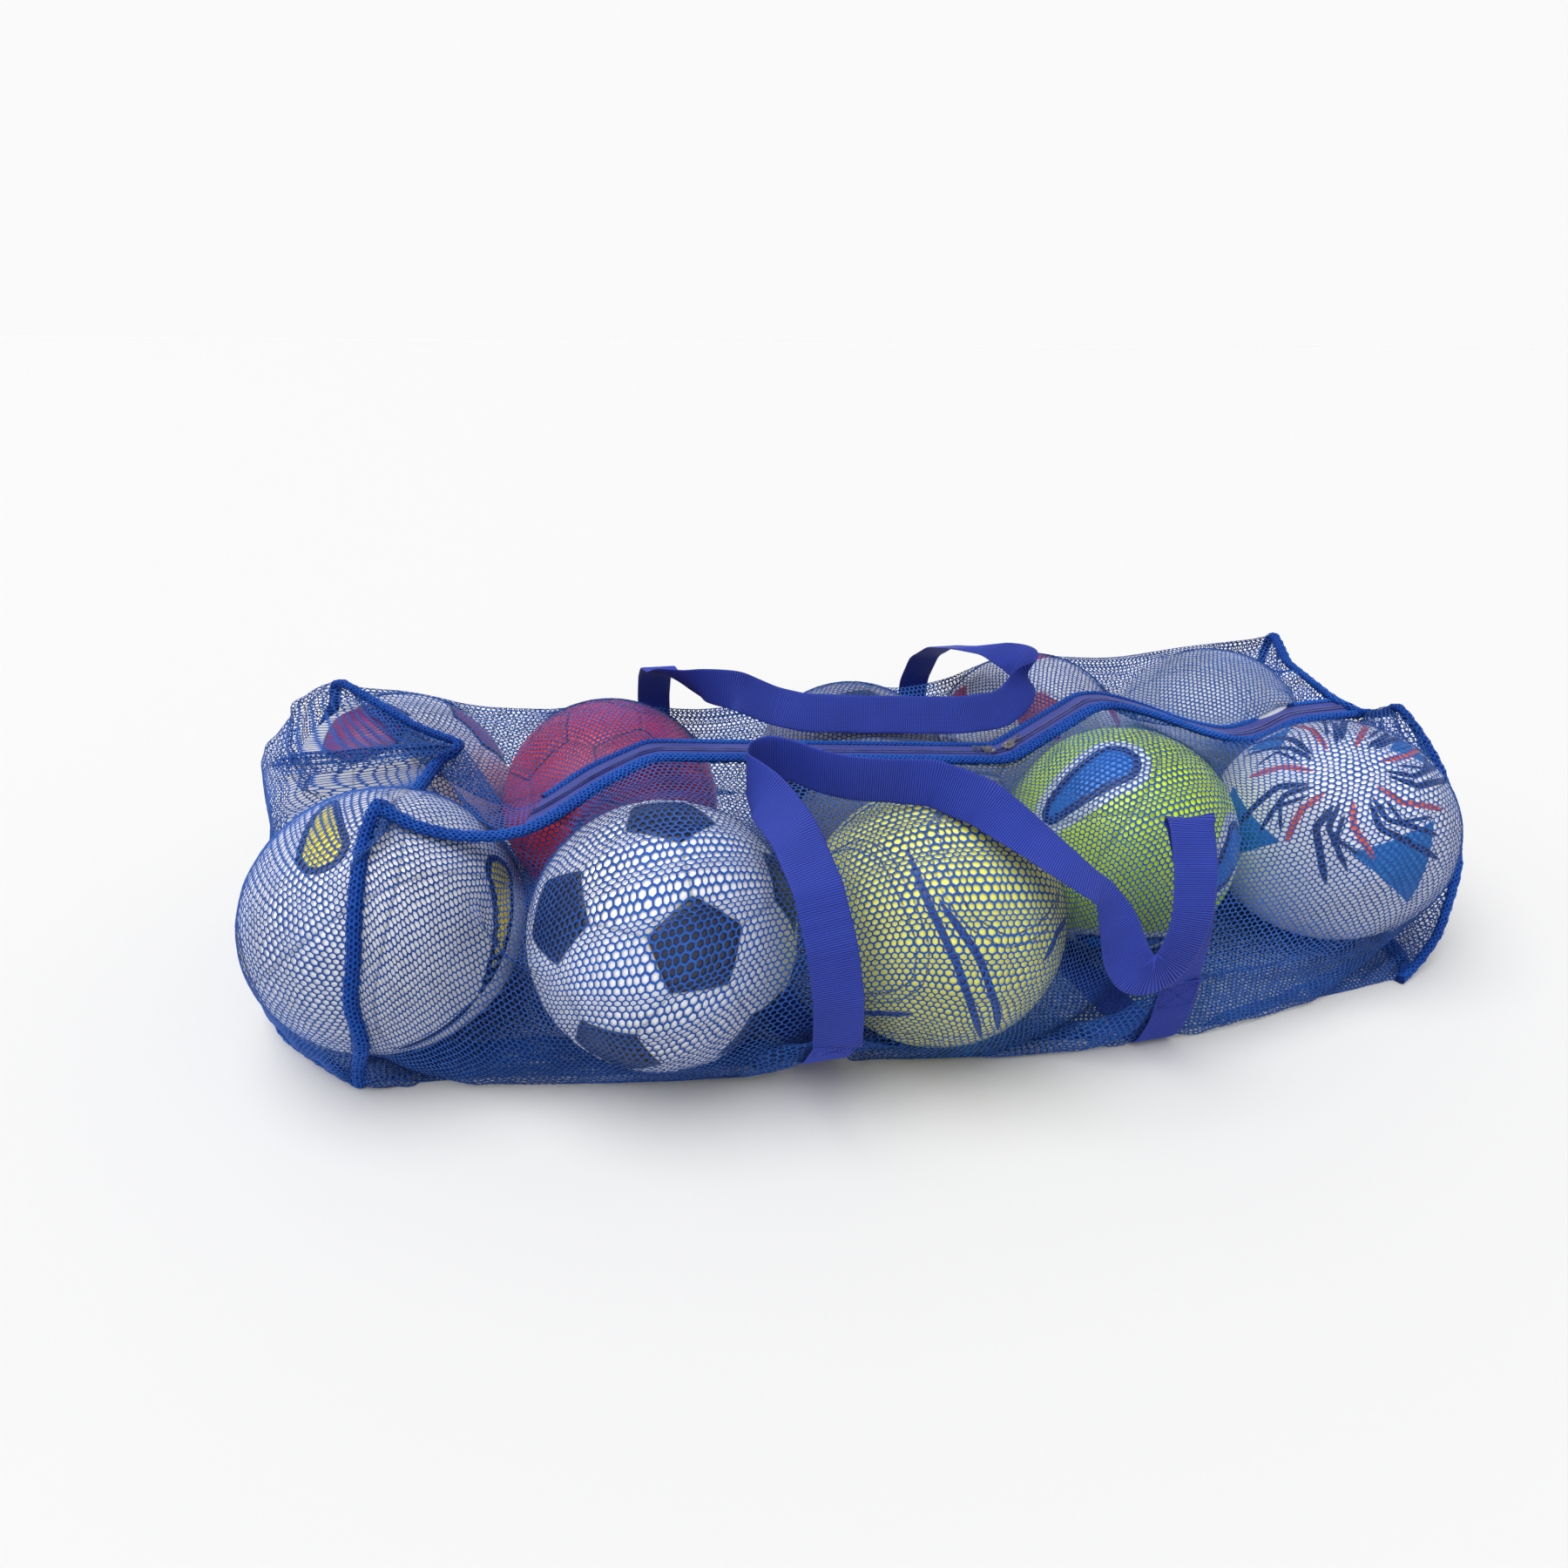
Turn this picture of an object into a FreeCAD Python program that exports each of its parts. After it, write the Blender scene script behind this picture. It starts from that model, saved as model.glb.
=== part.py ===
import FreeCAD, Part
import Sketcher
import math
import os

from FreeCAD import Placement, Rotation, Vector

# Mesh ball bag: a long zipped carry bag of open net, full of footballs, lying on a floor.
# Millimetres.  +X runs along the bag, -Y is its front, +Z is up, and the origin is the
# middle of its rest face on the floor.

document = FreeCAD.newDocument("MeshBallBag")

# ---------------------------------------------------------------- driving dimensions

SIZES = {
    "ball_radius": (110.0, "full-size football"),
    "ball_wall": (2.6, "cover, lining and bladder together"),
    "ball_height": (112.9, "centre of a ball above the floor"),
    "net_thick": (1.2, "knitted net, strand on strand"),
    "net_floor": (1.5, "underside of the net beside the webbing"),
    "net_top": (224.4, "net drawn over the tops of the balls"),
    "foot_radius": (62.0, "roll of the net from the floor to the side"),
    "shoulder_radius": (100.0, "roll of the net from the side to the top"),
    "rest_pad": (2.7, "bottom net with the slack it lies in"),
    "seam_width": (10.0, "rolled seam at each end"),
    "seam_rise": (2.0, "how far the rolled seam stands out"),
    "webbing_width": (38.0, "carrying webbing"),
    "webbing_thick": (1.4, "carrying webbing"),
    "sewn_height": (85.0, "the webbing is sewn up to here, free above"),
    "hinge_gap": (1.8, "bare stretch each side of the bend line"),
    "tack_length": (24.0, "box stitch at the end of the sewn webbing"),
    "tack_thick": (0.4, "thread standing on the webbing"),
    "hem_inner": (13.1, "zip centre line to the inner edge of the hem"),
    "hem_outer": (20.0, "zip centre line to the outer edge of the hem"),
    "hem_thick": (3.0, "net rolled over at the zip"),
    "tape_inner": (1.2, "zip centre line to the edge of the tape"),
    "tape_outer": (13.0, "zip centre line to the sewn edge of the tape"),
    "tape_thick": (0.8, "woven zip tape"),
    "coil_inner": (1.35, "zip centre line to the coil"),
    "coil_outer": (3.9, "zip centre line to the outside of the coil"),
    "coil_rise": (2.0, "nylon coil above the tape"),
    "slider_length": (13.0, "zip slider"),
    "slider_width": (11.0, "zip slider at its head"),
    "tail_width": (9.6, "zip slider at its tail"),
    "nose_width": (5.0, "rounded front of the slider"),
    "nose_length": (2.0, "rounded front of the slider"),
    "flange_drop": (1.9, "side lips under the upper plate"),
    "flange_thick": (0.8, "side lips under the upper plate"),
    "plate_thick": (1.1, "each plate of the slider"),
    "plate_clear": (0.35, "tape to the lower plate"),
    "plate_gap": (3.7, "room for coil and tape between the plates"),
    "post_width": (1.8, "post between the plates"),
    "post_length": (3.0, "post between the plates"),
    "bail_length": (8.0, "bridge that holds the pull"),
    "bail_width": (2.0, "bridge that holds the pull"),
    "bail_rise": (3.8, "bridge above the plate"),
    "bail_wall": (1.1, "bridge"),
    "pull_width": (6.4, "stamped pull where it straddles the bridge"),
    "pull_thick": (1.2, "stamped pull"),
    "pull_bar": (1.4, "cross bar under the bridge"),
    "pull_slot": (4.3, "slot that the bridge stands in"),
    "pull_neck": (3.6, "width of the pull's neck"),
    "pull_reach": (13.0, "cross bar to the middle of the finger ring"),
    "ring_radius": (3.8, "finger ring"),
    "ring_hole": (2.1, "finger ring"),
    "pull_lift": (1.6, "middle of the cross bar above the plate"),
    "pull_shift": (1.6, "middle of the cross bar from the slider's centre"),
    "slider_stand": (12.0, "slider centre to the bottom of the zip's dip"),
}

sheet = document.addObject("Spreadsheet::Sheet", "Sizes")
for row, (alias, (value, note)) in enumerate(SIZES.items(), start=1):
    sheet.set("A%d" % row, alias)
    sheet.set("B%d" % row, str(value))
    sheet.set("C%d" % row, note)
    sheet.setAlias("B%d" % row, alias)
document.recompute()


def size(alias):
    return float(sheet.get(alias))


# Plan places of the balls: two rows of five, a little uneven as balls lie in a bag.
FRONT_BALLS = [(-445, -80), (-222, -148), (5, -169), (231, -82), (450, -110)]
BACK_BALLS = [(-464, 149), (-251, 91), (8, 92), (247, 147), (471, 120)]

# The net's outline seen from above goes round these circles: centre and radius.
CORNERS = [
    (-450, -82, 114.0),
    (-222, -148, 112.5),
    (5, -169, 112.5),
    (455, -110, 115.0),
    (468, 122, 116.5),
    (247, 147, 112.5),
    (-480, 150, 115.0),
]

# Centre line of the zip.  It is straight from ZIP_RISE down to ZIP_DIP and from there up
# to ZIP_CREST, and the sliders run on those two stretches.
ZIP_RISE = Vector(-215, 10, 208.5)
ZIP_DIP = Vector(128, -18, 186.2)
ZIP_CREST = Vector(245, 32, 214.0)
ZIP_LINE = [
    Vector(-640, 35, 182),
    Vector(-440, 32, 182),
    Vector(-340, -3, 180),
    Vector(-290, -15, 186),
    ZIP_RISE,
    ZIP_DIP,
    ZIP_CREST,
    Vector(350, 5, 172),
    Vector(430, 3, 180),
    Vector(500, 8, 175),
    Vector(640, 45, 170),
]

# Each end seam lies in an upright plane: a point on it and its turn from the Y axis.
LEFT_SEAM = (Vector(-492, -82, 0), 11.3)
RIGHT_SEAM = (Vector(540, 0, 0), 0.0)

# Where each webbing band stands on the front and on the back of the bag, which are about
# BAND_REACH from the middle.
BANDS = {"left_band": (-108, -190), "right_band": (190, 140)}
BAND_REACH = 272.0
BAND_LIFT = 0.1            # band clear of the net under it
BAND_SIDE_CLEAR = 0.3      # and of the bottom net beside it

# The bottom net's tongue at the right end.
CURL_X = 500.0
CURL_WIDTH = 90.0
CURL_HEIGHT = 60.0

# Depths of the shapes that cut the net open.
CUT_DEPTH = 5.0
ZIP_SLOT_DEPTH = 8.0
REST_MARGIN = 2.0

# The trough between the rows of balls is cut from this far above the net's top.
TROUGH_RISE = 12.0

FAR = 700.0


# ---------------------------------------------------------------- helpers


def publish(name, shape):
    """Adds a finished solid as a document object whose label names its file."""
    feature = document.addObject("Part::Feature", name)
    feature.Shape = shape
    feature.Placement = Placement()
    feature.Label = name
    return feature


def one_solid(shape):
    """The largest solid of a boolean result."""
    return max(shape.Solids, key=lambda solid: solid.Volume)


def polygon(points):
    corners = [Vector(*point) for point in points]
    return Part.makePolygon(corners + corners[:1])


def tangent_outline(grow, height):
    """Closed wire round the corner circles: tangent lines joined by arcs."""
    circles = [(x, y, radius + grow) for x, y, radius in CORNERS]
    leaving = []
    arriving = []
    for (x1, y1, r1), (x2, y2, r2) in zip(circles, circles[1:] + circles[:1]):
        span = math.hypot(x2 - x1, y2 - y1)
        along = Vector((x2 - x1) / span, (y2 - y1) / span, 0)
        sine = (r1 - r2) / span
        cosine = math.sqrt(1 - sine * sine)
        normal = Vector(along.x * sine + along.y * cosine, along.y * sine - along.x * cosine, 0)
        leaving.append(Vector(x1, y1, height) + normal * r1)
        arriving.append(Vector(x2, y2, height) + normal * r2)
    arriving = arriving[-1:] + arriving[:-1]
    edges = []
    for index, (x, y, radius) in enumerate(circles):
        centre = Vector(x, y, height)
        middle = (arriving[index] + leaving[index]) * 0.5 - centre
        middle.normalize()
        arc = Part.Arc(arriving[index], centre + middle * radius, leaving[index])
        edges.append(arc.toShape())
        edges.append(Part.makeLine(leaving[index], arriving[(index + 1) % len(circles)]))
    return Part.Wire(edges)


def edges_at(shape, height):
    return [edge for edge in shape.Edges
            if abs(edge.BoundBox.ZMin - height) < 0.01 and abs(edge.BoundBox.ZMax - height) < 0.01]


def pillow(grow):
    """The rounded block that the full bag fills, grown outwards by a distance."""
    bottom = size("net_floor") - grow
    top = size("net_top") + grow
    block = Part.Face(tangent_outline(grow, bottom)).extrude(Vector(0, 0, top - bottom))
    block = block.makeFillet(size("shoulder_radius") + grow, edges_at(block, top))
    return block.makeFillet(size("foot_radius") + grow, edges_at(block, bottom))


def strip(near, far, low, high, line=ZIP_LINE):
    """A bar along the zip, between two distances across it and two heights about it."""
    sections = []
    for point in line:
        sections.append(polygon([
            (point.x, point.y + near, point.z + low),
            (point.x, point.y + far, point.z + low),
            (point.x, point.y + far, point.z + high),
            (point.x, point.y + near, point.z + high),
        ]))
    return Part.makeLoft(sections, True, True)


def valley(grow):
    """The trough between the two rows of balls, with the zip along its floor."""
    half = size("hem_outer") - grow * math.tan(math.pi / 8)
    top = size("net_top") + TROUGH_RISE
    sections = []
    for point in ZIP_LINE:
        floor = point.z + grow
        lip = half + top - floor
        sections.append(polygon([
            (point.x, point.y - half, floor),
            (point.x, point.y + half, floor),
            (point.x, point.y + lip, top),
            (point.x, point.y - lip, top),
        ]))
    return Part.makeLoft(sections, True, True)


def bag_form(grow):
    return pillow(grow).cut(valley(grow))


def beyond(seam, side, start, depth=FAR):
    """A block past an end seam: side is -1 or 1, start is the distance out from its plane."""
    point, turn = seam
    block = Part.makeBox(depth, 2 * FAR, 2 * FAR, Vector(0, -FAR, -FAR))
    if side < 0:
        block.translate(Vector(-depth, 0, 0))
    block.translate(Vector(side * start, 0, 0))
    block.Placement = Placement(point, Rotation(Vector(0, 0, 1), turn)).multiply(block.Placement)
    return block


def band_prism(front_x, back_x, extra):
    """Upright block that holds one band where it passes under the bag."""
    half = size("webbing_width") / 2 + extra
    slope = (back_x - front_x) / (2 * BAND_REACH)
    near_x = front_x - slope * (FAR - BAND_REACH)
    far_x = front_x + slope * (FAR + BAND_REACH)
    outline = polygon([
        (near_x - half, -FAR, -CUT_DEPTH),
        (near_x + half, -FAR, -CUT_DEPTH),
        (far_x + half, FAR, -CUT_DEPTH),
        (far_x - half, FAR, -CUT_DEPTH),
    ])
    height = size("sewn_height") - size("hinge_gap") + CUT_DEPTH
    return Part.Face(outline).extrude(Vector(0, 0, height))


# ---------------------------------------------------------------- balls


def make_ball(name, x, y):
    outer = document.addObject("Part::Sphere", name + "_outside")
    outer.setExpression("Radius", "Sizes.ball_radius")
    inner = document.addObject("Part::Sphere", name + "_inside")
    inner.setExpression("Radius", "Sizes.ball_radius - Sizes.ball_wall")
    ball = document.addObject("Part::Cut", name)
    ball.Base = outer
    ball.Tool = inner
    ball.Placement = Placement(Vector(x, y, size("ball_height")), Rotation())
    ball.Label = name
    return ball


parts = []
for row_name, places in (("ball_front", FRONT_BALLS), ("ball_back", BACK_BALLS)):
    for number, (x, y) in enumerate(places, start=1):
        parts.append(make_ball("%s_%d" % (row_name, number), x, y))

# ---------------------------------------------------------------- net panels and seams

net_outside = bag_form(0.0)
net_inside = bag_form(-size("net_thick"))
net = net_outside.cut(net_inside)

rest_face = Part.Face(tangent_outline(-size("foot_radius"), 0.0))
rest_block = rest_face.extrude(Vector(0, 0, size("rest_pad")))
rest_cut = rest_face.extrude(Vector(0, 0, size("rest_pad") + REST_MARGIN))
# At the right end the bottom net curls up a little before it meets the seam.
curl_block = Part.makeBox(RIGHT_SEAM[0].x - CURL_X, CURL_WIDTH, CURL_HEIGHT,
                         Vector(CURL_X, -CURL_WIDTH / 2, 0))

left_beyond = beyond(LEFT_SEAM, -1, 0)
right_beyond = beyond(RIGHT_SEAM, 1, 0)

seam_band = bag_form(size("seam_rise")).cut(net_inside)
above_floor = Part.makeBox(4 * FAR, 4 * FAR, 2 * FAR, Vector(-2 * FAR, -2 * FAR, 0))
for name, seam, side in (("left_end_seam", LEFT_SEAM, -1), ("right_end_seam", RIGHT_SEAM, 1)):
    ring = seam_band.common(beyond(seam, side, 0, size("seam_width"))).common(above_floor)
    parts.append(publish(name, one_solid(ring)))
    cap = net.common(beyond(seam, side, size("seam_width")))
    parts.append(publish(name.replace("seam", "panel"), one_solid(cap)))

zip_slot = strip(-size("hem_outer"), size("hem_outer"), -ZIP_SLOT_DEPTH, ZIP_SLOT_DEPTH)
middle = net.cut(left_beyond).cut(right_beyond).cut(rest_cut).cut(curl_block).cut(zip_slot)
halves = sorted(middle.Solids, key=lambda solid: solid.Volume)[-2:]
halves.sort(key=lambda solid: solid.CenterOfMass.y)
parts.append(publish("front_panel", halves[0]))
parts.append(publish("back_panel", halves[1]))

# ---------------------------------------------------------------- webbing bands

band_skin = bag_form(size("webbing_thick")).cut(bag_form(BAND_LIFT)).common(above_floor)
bottom = rest_block.fuse(net.common(curl_block)).cut(left_beyond).cut(right_beyond)
for name, (front_x, back_x) in BANDS.items():
    prism = band_prism(front_x, back_x, 0.0)
    parts.append(publish(name, one_solid(band_skin.common(prism))))
    channel = band_prism(front_x, back_x, BAND_SIDE_CLEAR)
    channel = channel.common(Part.makeBox(4 * FAR, 4 * FAR, size("net_floor") + BAND_LIFT,
                                          Vector(-2 * FAR, -2 * FAR, 0)))
    bottom = bottom.cut(channel)
parts.append(publish("bottom_panel", one_solid(bottom)))

# ---------------------------------------------------------------- zip tapes, coils, hems

between_seams = Part.makeBox(4 * FAR, 4 * FAR, 2 * FAR, Vector(-2 * FAR, -2 * FAR, 0))
between_seams = between_seams.cut(left_beyond).cut(right_beyond)
half_tape = size("tape_thick") / 2
half_hem = size("hem_thick") / 2
ZIP_STRIPS = {
    "zip_hem": ("hem_inner", "hem_outer", -half_hem, half_hem),
    "zip_tape": ("tape_inner", "tape_outer", -half_tape, half_tape),
    "zip_coil": ("coil_inner", "coil_outer", half_tape, half_tape + size("coil_rise")),
}
for kind, (near, far, low, high) in ZIP_STRIPS.items():
    for side_name, side in (("front", -1), ("back", 1)):
        bar = strip(side * size(near), side * size(far), low, high)
        parts.append(publish("%s_%s" % (side_name, kind), one_solid(bar.common(between_seams))))

# ---------------------------------------------------------------- stitching

tack_skin = bag_form(size("webbing_thick") + size("tack_thick")).cut(bag_form(size("webbing_thick")))
tack_top = size("sewn_height") - size("hinge_gap") - 2
tack_level = Part.makeBox(4 * FAR, 4 * FAR, size("tack_length"),
                          Vector(-2 * FAR, -2 * FAR, tack_top - size("tack_length")))
tacks = []
for front_x, back_x in BANDS.values():
    tacks += tack_skin.common(band_prism(front_x, back_x, -3.0)).common(tack_level).Solids
parts.append(publish("band_tacks", Part.makeCompound(tacks)))

# ---------------------------------------------------------------- carrying handles

ALONG = Vector(1, 0, 0)
UPRIGHT = Vector(0, 0, 1)
LEG_START = size("sewn_height") + size("hinge_gap")
LEG_CLEAR = 1.2


def leg_place(front_x, back_x, side):
    """Where a handle's leg stands, just off the top of a sewn band: front is -1, back is 1."""
    skin = band_skin.common(band_prism(front_x, back_x, 0.0))
    level = size("sewn_height") - size("hinge_gap")
    tops = [face for face in skin.Faces if abs(face.CenterOfMass.z - level) < 0.01
            and face.CenterOfMass.y * side > 0]
    return tops[0].CenterOfMass + Vector(0, side * LEG_CLEAR, 0)


def webbing(stations):
    """A flat strap through stations of centre and width direction."""
    half = size("webbing_width") / 2
    thin = size("webbing_thick") / 2
    sections = []
    for index, (centre, width) in enumerate(stations):
        before = stations[max(index - 1, 0)][0]
        after = stations[min(index + 1, len(stations) - 1)][0]
        course = after - before
        course.normalize()
        across = width - course * width.dot(course)
        across.normalize()
        face = course.cross(across)
        sections.append([centre + across * (half * u) + face * (thin * v)
                         for u, v in ((-1, -1), (1, -1), (1, 1), (-1, 1))])
    faces = [Part.Face(polygon(sections[0])), Part.Face(polygon(sections[-1]))]
    for near, far in zip(sections, sections[1:]):
        for corner in range(4):
            following = (corner + 1) % 4
            quad = [near[corner], near[following], far[following], far[corner]]
            # Both broad faces fold along the same diagonal, so the strap keeps its thickness.
            if corner == 2:
                quad = quad[1:] + quad[:1]
            faces.append(Part.Face(polygon([quad[0], quad[1], quad[2]])))
            faces.append(Part.Face(polygon([quad[0], quad[2], quad[3]])))
    shell = Part.makeShell(faces)
    shell.sewShape()
    strap = Part.makeSolid(shell)
    if strap.Volume < 0:
        strap.reverse()
    return strap


front_left = leg_place(*BANDS["left_band"], -1)
front_right = leg_place(*BANDS["right_band"], -1)
back_left = leg_place(*BANDS["left_band"], 1)
back_right = leg_place(*BANDS["right_band"], 1)

# The front handle lies over the tops of the balls, then hangs in a dip beside its right leg.
FRONT_ROUTE = [
    (Vector(front_left.x, front_left.y, LEG_START), Vector(1, -0.09, 0)),
    (Vector(-109, -276, 125), Vector(1, -0.09, 0)),
    (Vector(-113, -267, 165), Vector(1, -0.05, 0)),
    (Vector(-118, -244, 202), Vector(1, 0.1, 0.1)),
    (Vector(-128, -208, 230), Vector(1, 0.5, 0.5)),
    (Vector(-142, -172, 244), Vector(0.5, 0.6, 1)),
    (Vector(-150, -136, 245), UPRIGHT),
    (Vector(-142, -113, 245), UPRIGHT),
    (Vector(-124, -105, 245), UPRIGHT),
    (Vector(-107, -119, 245), UPRIGHT),
    (Vector(-92, -142, 245), UPRIGHT),
    (Vector(-70, -160, 245), UPRIGHT),
    (Vector(-42, -170, 245), UPRIGHT),
    (Vector(-10, -178, 244), Vector(0.1, 0.2, 1)),
    (Vector(20, -206, 238), Vector(0.4, 0.5, 0.8)),
    (Vector(50, -236, 219), Vector(0.75, 0.5, 0.25)),
    (Vector(76, -256, 200), Vector(0.8, 0.55, 0)),
    (Vector(96, -268, 186), Vector(0.7, 0.6, -0.1)),
    (Vector(107, -278, 160), Vector(0.85, 0.25, 0.2)),
    (Vector(117, -281, 132), Vector(0.85, 0.0, 0.5)),
    (Vector(128, -282, 116), Vector(0.5, 0, 0.8)),
    (Vector(142, -282, 111), Vector(0, 0, 1)),
    (Vector(156, -282, 119), Vector(-0.6, 0, 0.8)),
    (Vector(166, -280, 138), Vector(-0.9, 0, 0.4)),
    (Vector(173, -274, 160), Vector(-0.95, 0, 0.2)),
    (Vector(177, -262, 190), Vector(-1, 0, 0)),
    (Vector(180, -246, 213), Vector(-1, 0, 0)),
    (Vector(181, -239, 220), Vector(-1, 0, 0)),
    (Vector(183, -234, 222.5), Vector(-1, 0, 0)),
    (Vector(184, -230.5, 220), Vector(-1, 0, 0)),
    (Vector(186, -231.5, 212), Vector(-1, 0, 0)),
    (Vector(188, -241, 193), Vector(-1, -0.05, 0)),
    (Vector(189, -256, 163), Vector(-1, -0.12, 0)),
    (Vector(front_right.x, front_right.y, 125), Vector(-1, -0.13, 0)),
    (Vector(front_right.x, front_right.y, LEG_START), Vector(-1, -0.13, 0)),
]

# The back handle comes over from behind and lies in the trough, leaning on the back row.
LEANING = Vector(0, -0.5, -0.87)
BACK_ROUTE = [
    (Vector(back_left.x, back_left.y, LEG_START), ALONG),
    (Vector(back_left.x, back_left.y, 125), ALONG),
    (Vector(-189, 260, 165), ALONG),
    (Vector(-188, 235, 202), ALONG),
    (Vector(-187, 200, 224), ALONG),
    (Vector(-184, 160, 229), Vector(1, 0.1, -0.2)),
    (Vector(-178, 120, 238), Vector(0.8, 0.2, -0.7)),
    (Vector(-160, 80, 243), Vector(0.6, -0.2, -0.8)),
    (Vector(-125, 47, 247), Vector(0.1, -0.4, -0.9)),
    (Vector(-90, 40, 231), LEANING),
    (Vector(-60, 33, 224), LEANING),
    (Vector(0, 28, 219.5), LEANING),
    (Vector(60, 23, 216), LEANING),
    (Vector(100, 20, 214), LEANING),
    (Vector(140, 22, 215), LEANING),
    (Vector(160, 31, 219.5), LEANING),
    (Vector(172, 38, 229), Vector(-0.1, -0.5, -0.9)),
    (Vector(185, 50, 247), Vector(-0.3, -0.3, -0.9)),
    (Vector(184, 76, 250), Vector(-0.8, -0.3, -0.7)),
    (Vector(170, 106, 252), Vector(-1, -0.3, -0.2)),
    (Vector(155, 145, 242), -ALONG),
    (Vector(145, 190, 230), -ALONG),
    (Vector(141, 232, 204), -ALONG),
    (Vector(140, 258, 165), -ALONG),
    (Vector(back_right.x, back_right.y, 125), -ALONG),
    (Vector(back_right.x, back_right.y, LEG_START), -ALONG),
]
parts.append(publish("front_handle", webbing(FRONT_ROUTE)))
parts.append(publish("back_handle", webbing(BACK_ROUTE)))

# ---------------------------------------------------------------- sliders and pulls


def origin_plane(body, role):
    return [plane for plane in body.Origin.OriginFeatures if plane.Role == role][0]


def new_sketch(body, name, role, loops, lift=None):
    """A sketch of straight-sided loops, or circles given as (centre, radius)."""
    sketch = body.newObject("Sketcher::SketchObject", name)
    sketch.AttachmentSupport = [(origin_plane(body, role), "")]
    sketch.MapMode = "FlatFace"
    if lift:
        sketch.setExpression("AttachmentOffset.Base.z", lift)
    for loop in loops:
        first = sketch.GeometryCount
        if isinstance(loop, tuple):
            (x, y), radius = loop
            sketch.addGeometry(Part.Circle(Vector(x, y, 0), UPRIGHT, radius), False)
            continue
        for start, end in zip(loop, loop[1:] + loop[:1]):
            sketch.addGeometry(Part.LineSegment(Vector(*start, 0), Vector(*end, 0)), False)
        for index in range(len(loop)):
            following = first + (index + 1) % len(loop)
            sketch.addConstraint(Sketcher.Constraint("Coincident", first + index, 2, following, 1))
    return sketch


def pad(body, name, sketch, length, downwards=False, midplane=False):
    feature = body.newObject("PartDesign::Pad", name)
    feature.Profile = sketch
    feature.setExpression("Length", length)
    feature.Reversed = downwards
    feature.Midplane = midplane
    document.recompute()
    return feature


def pocket_through(body, name, sketch):
    before = body.Shape.Volume
    feature = body.newObject("PartDesign::Pocket", name)
    feature.Profile = sketch
    feature.Type = "ThroughAll"
    feature.Midplane = True
    document.recompute()
    if body.Shape.Volume >= before:
        raise RuntimeError(name + " cuts nothing")
    return feature


def box_loop(x_low, x_high, y_low, y_high):
    return [(x_low, y_low), (x_high, y_low), (x_high, y_high), (x_low, y_high)]


LOWER_TOP = "-Sizes.tape_thick / 2 - Sizes.plate_clear"
UPPER_BOTTOM = LOWER_TOP + " + Sizes.plate_gap"
plate_bottom = -size("tape_thick") / 2 - size("plate_clear") + size("plate_gap")
plate_top = plate_bottom + size("plate_thick")


def make_slider(name, place):
    """Coil zip slider: two plates joined by a post at the head, with a bridge on top."""
    body = document.addObject("PartDesign::Body", name)
    head = -size("slider_length") / 2
    tail = size("slider_length") / 2
    wide = size("slider_width") / 2
    slim = size("tail_width") / 2
    nose = size("nose_width") / 2
    cheek = head + size("nose_length")
    plate = [(head, -nose), (cheek, -wide), (0, -wide), (tail, -slim),
             (tail, slim), (0, wide), (cheek, wide), (head, nose)]
    sketch = new_sketch(body, name + "_lower_outline", "XY_Plane", [plate],
                        LOWER_TOP + " - Sizes.plate_thick")
    pad(body, name + "_lower", sketch, "Sizes.plate_thick")

    post = box_loop(head + 1, head + 1 + size("post_length"),
                    -size("post_width") / 2, size("post_width") / 2)
    sketch = new_sketch(body, name + "_post_outline", "XY_Plane", [post], LOWER_TOP)
    pad(body, name + "_post", sketch, "Sizes.plate_gap")

    sketch = new_sketch(body, name + "_upper_outline", "XY_Plane", [plate], UPPER_BOTTOM)
    pad(body, name + "_upper", sketch, "Sizes.plate_thick")

    thick = size("flange_thick")
    lips = [box_loop(cheek, tail, side, side + thick) for side in (-slim, slim - thick)]
    sketch = new_sketch(body, name + "_lip_outline", "XY_Plane", lips, UPPER_BOTTOM)
    pad(body, name + "_lips", sketch, "Sizes.flange_drop", downwards=True)

    reach = size("bail_length") / 2
    wall = size("bail_wall")
    crown = plate_top + size("bail_rise")
    bridge = [(-reach, plate_top), (-reach, crown - 1), (1 - reach, crown), (reach - 1, crown),
              (reach, crown - 1), (reach, plate_top), (reach - wall, plate_top),
              (reach - wall, crown - wall), (wall - reach, crown - wall), (wall - reach, plate_top)]
    sketch = new_sketch(body, name + "_bridge_outline", "XZ_Plane", [bridge])
    pad(body, name + "_bridge", sketch, "Sizes.bail_width", midplane=True)
    body.Placement = place
    body.Label = name
    return body


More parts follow.
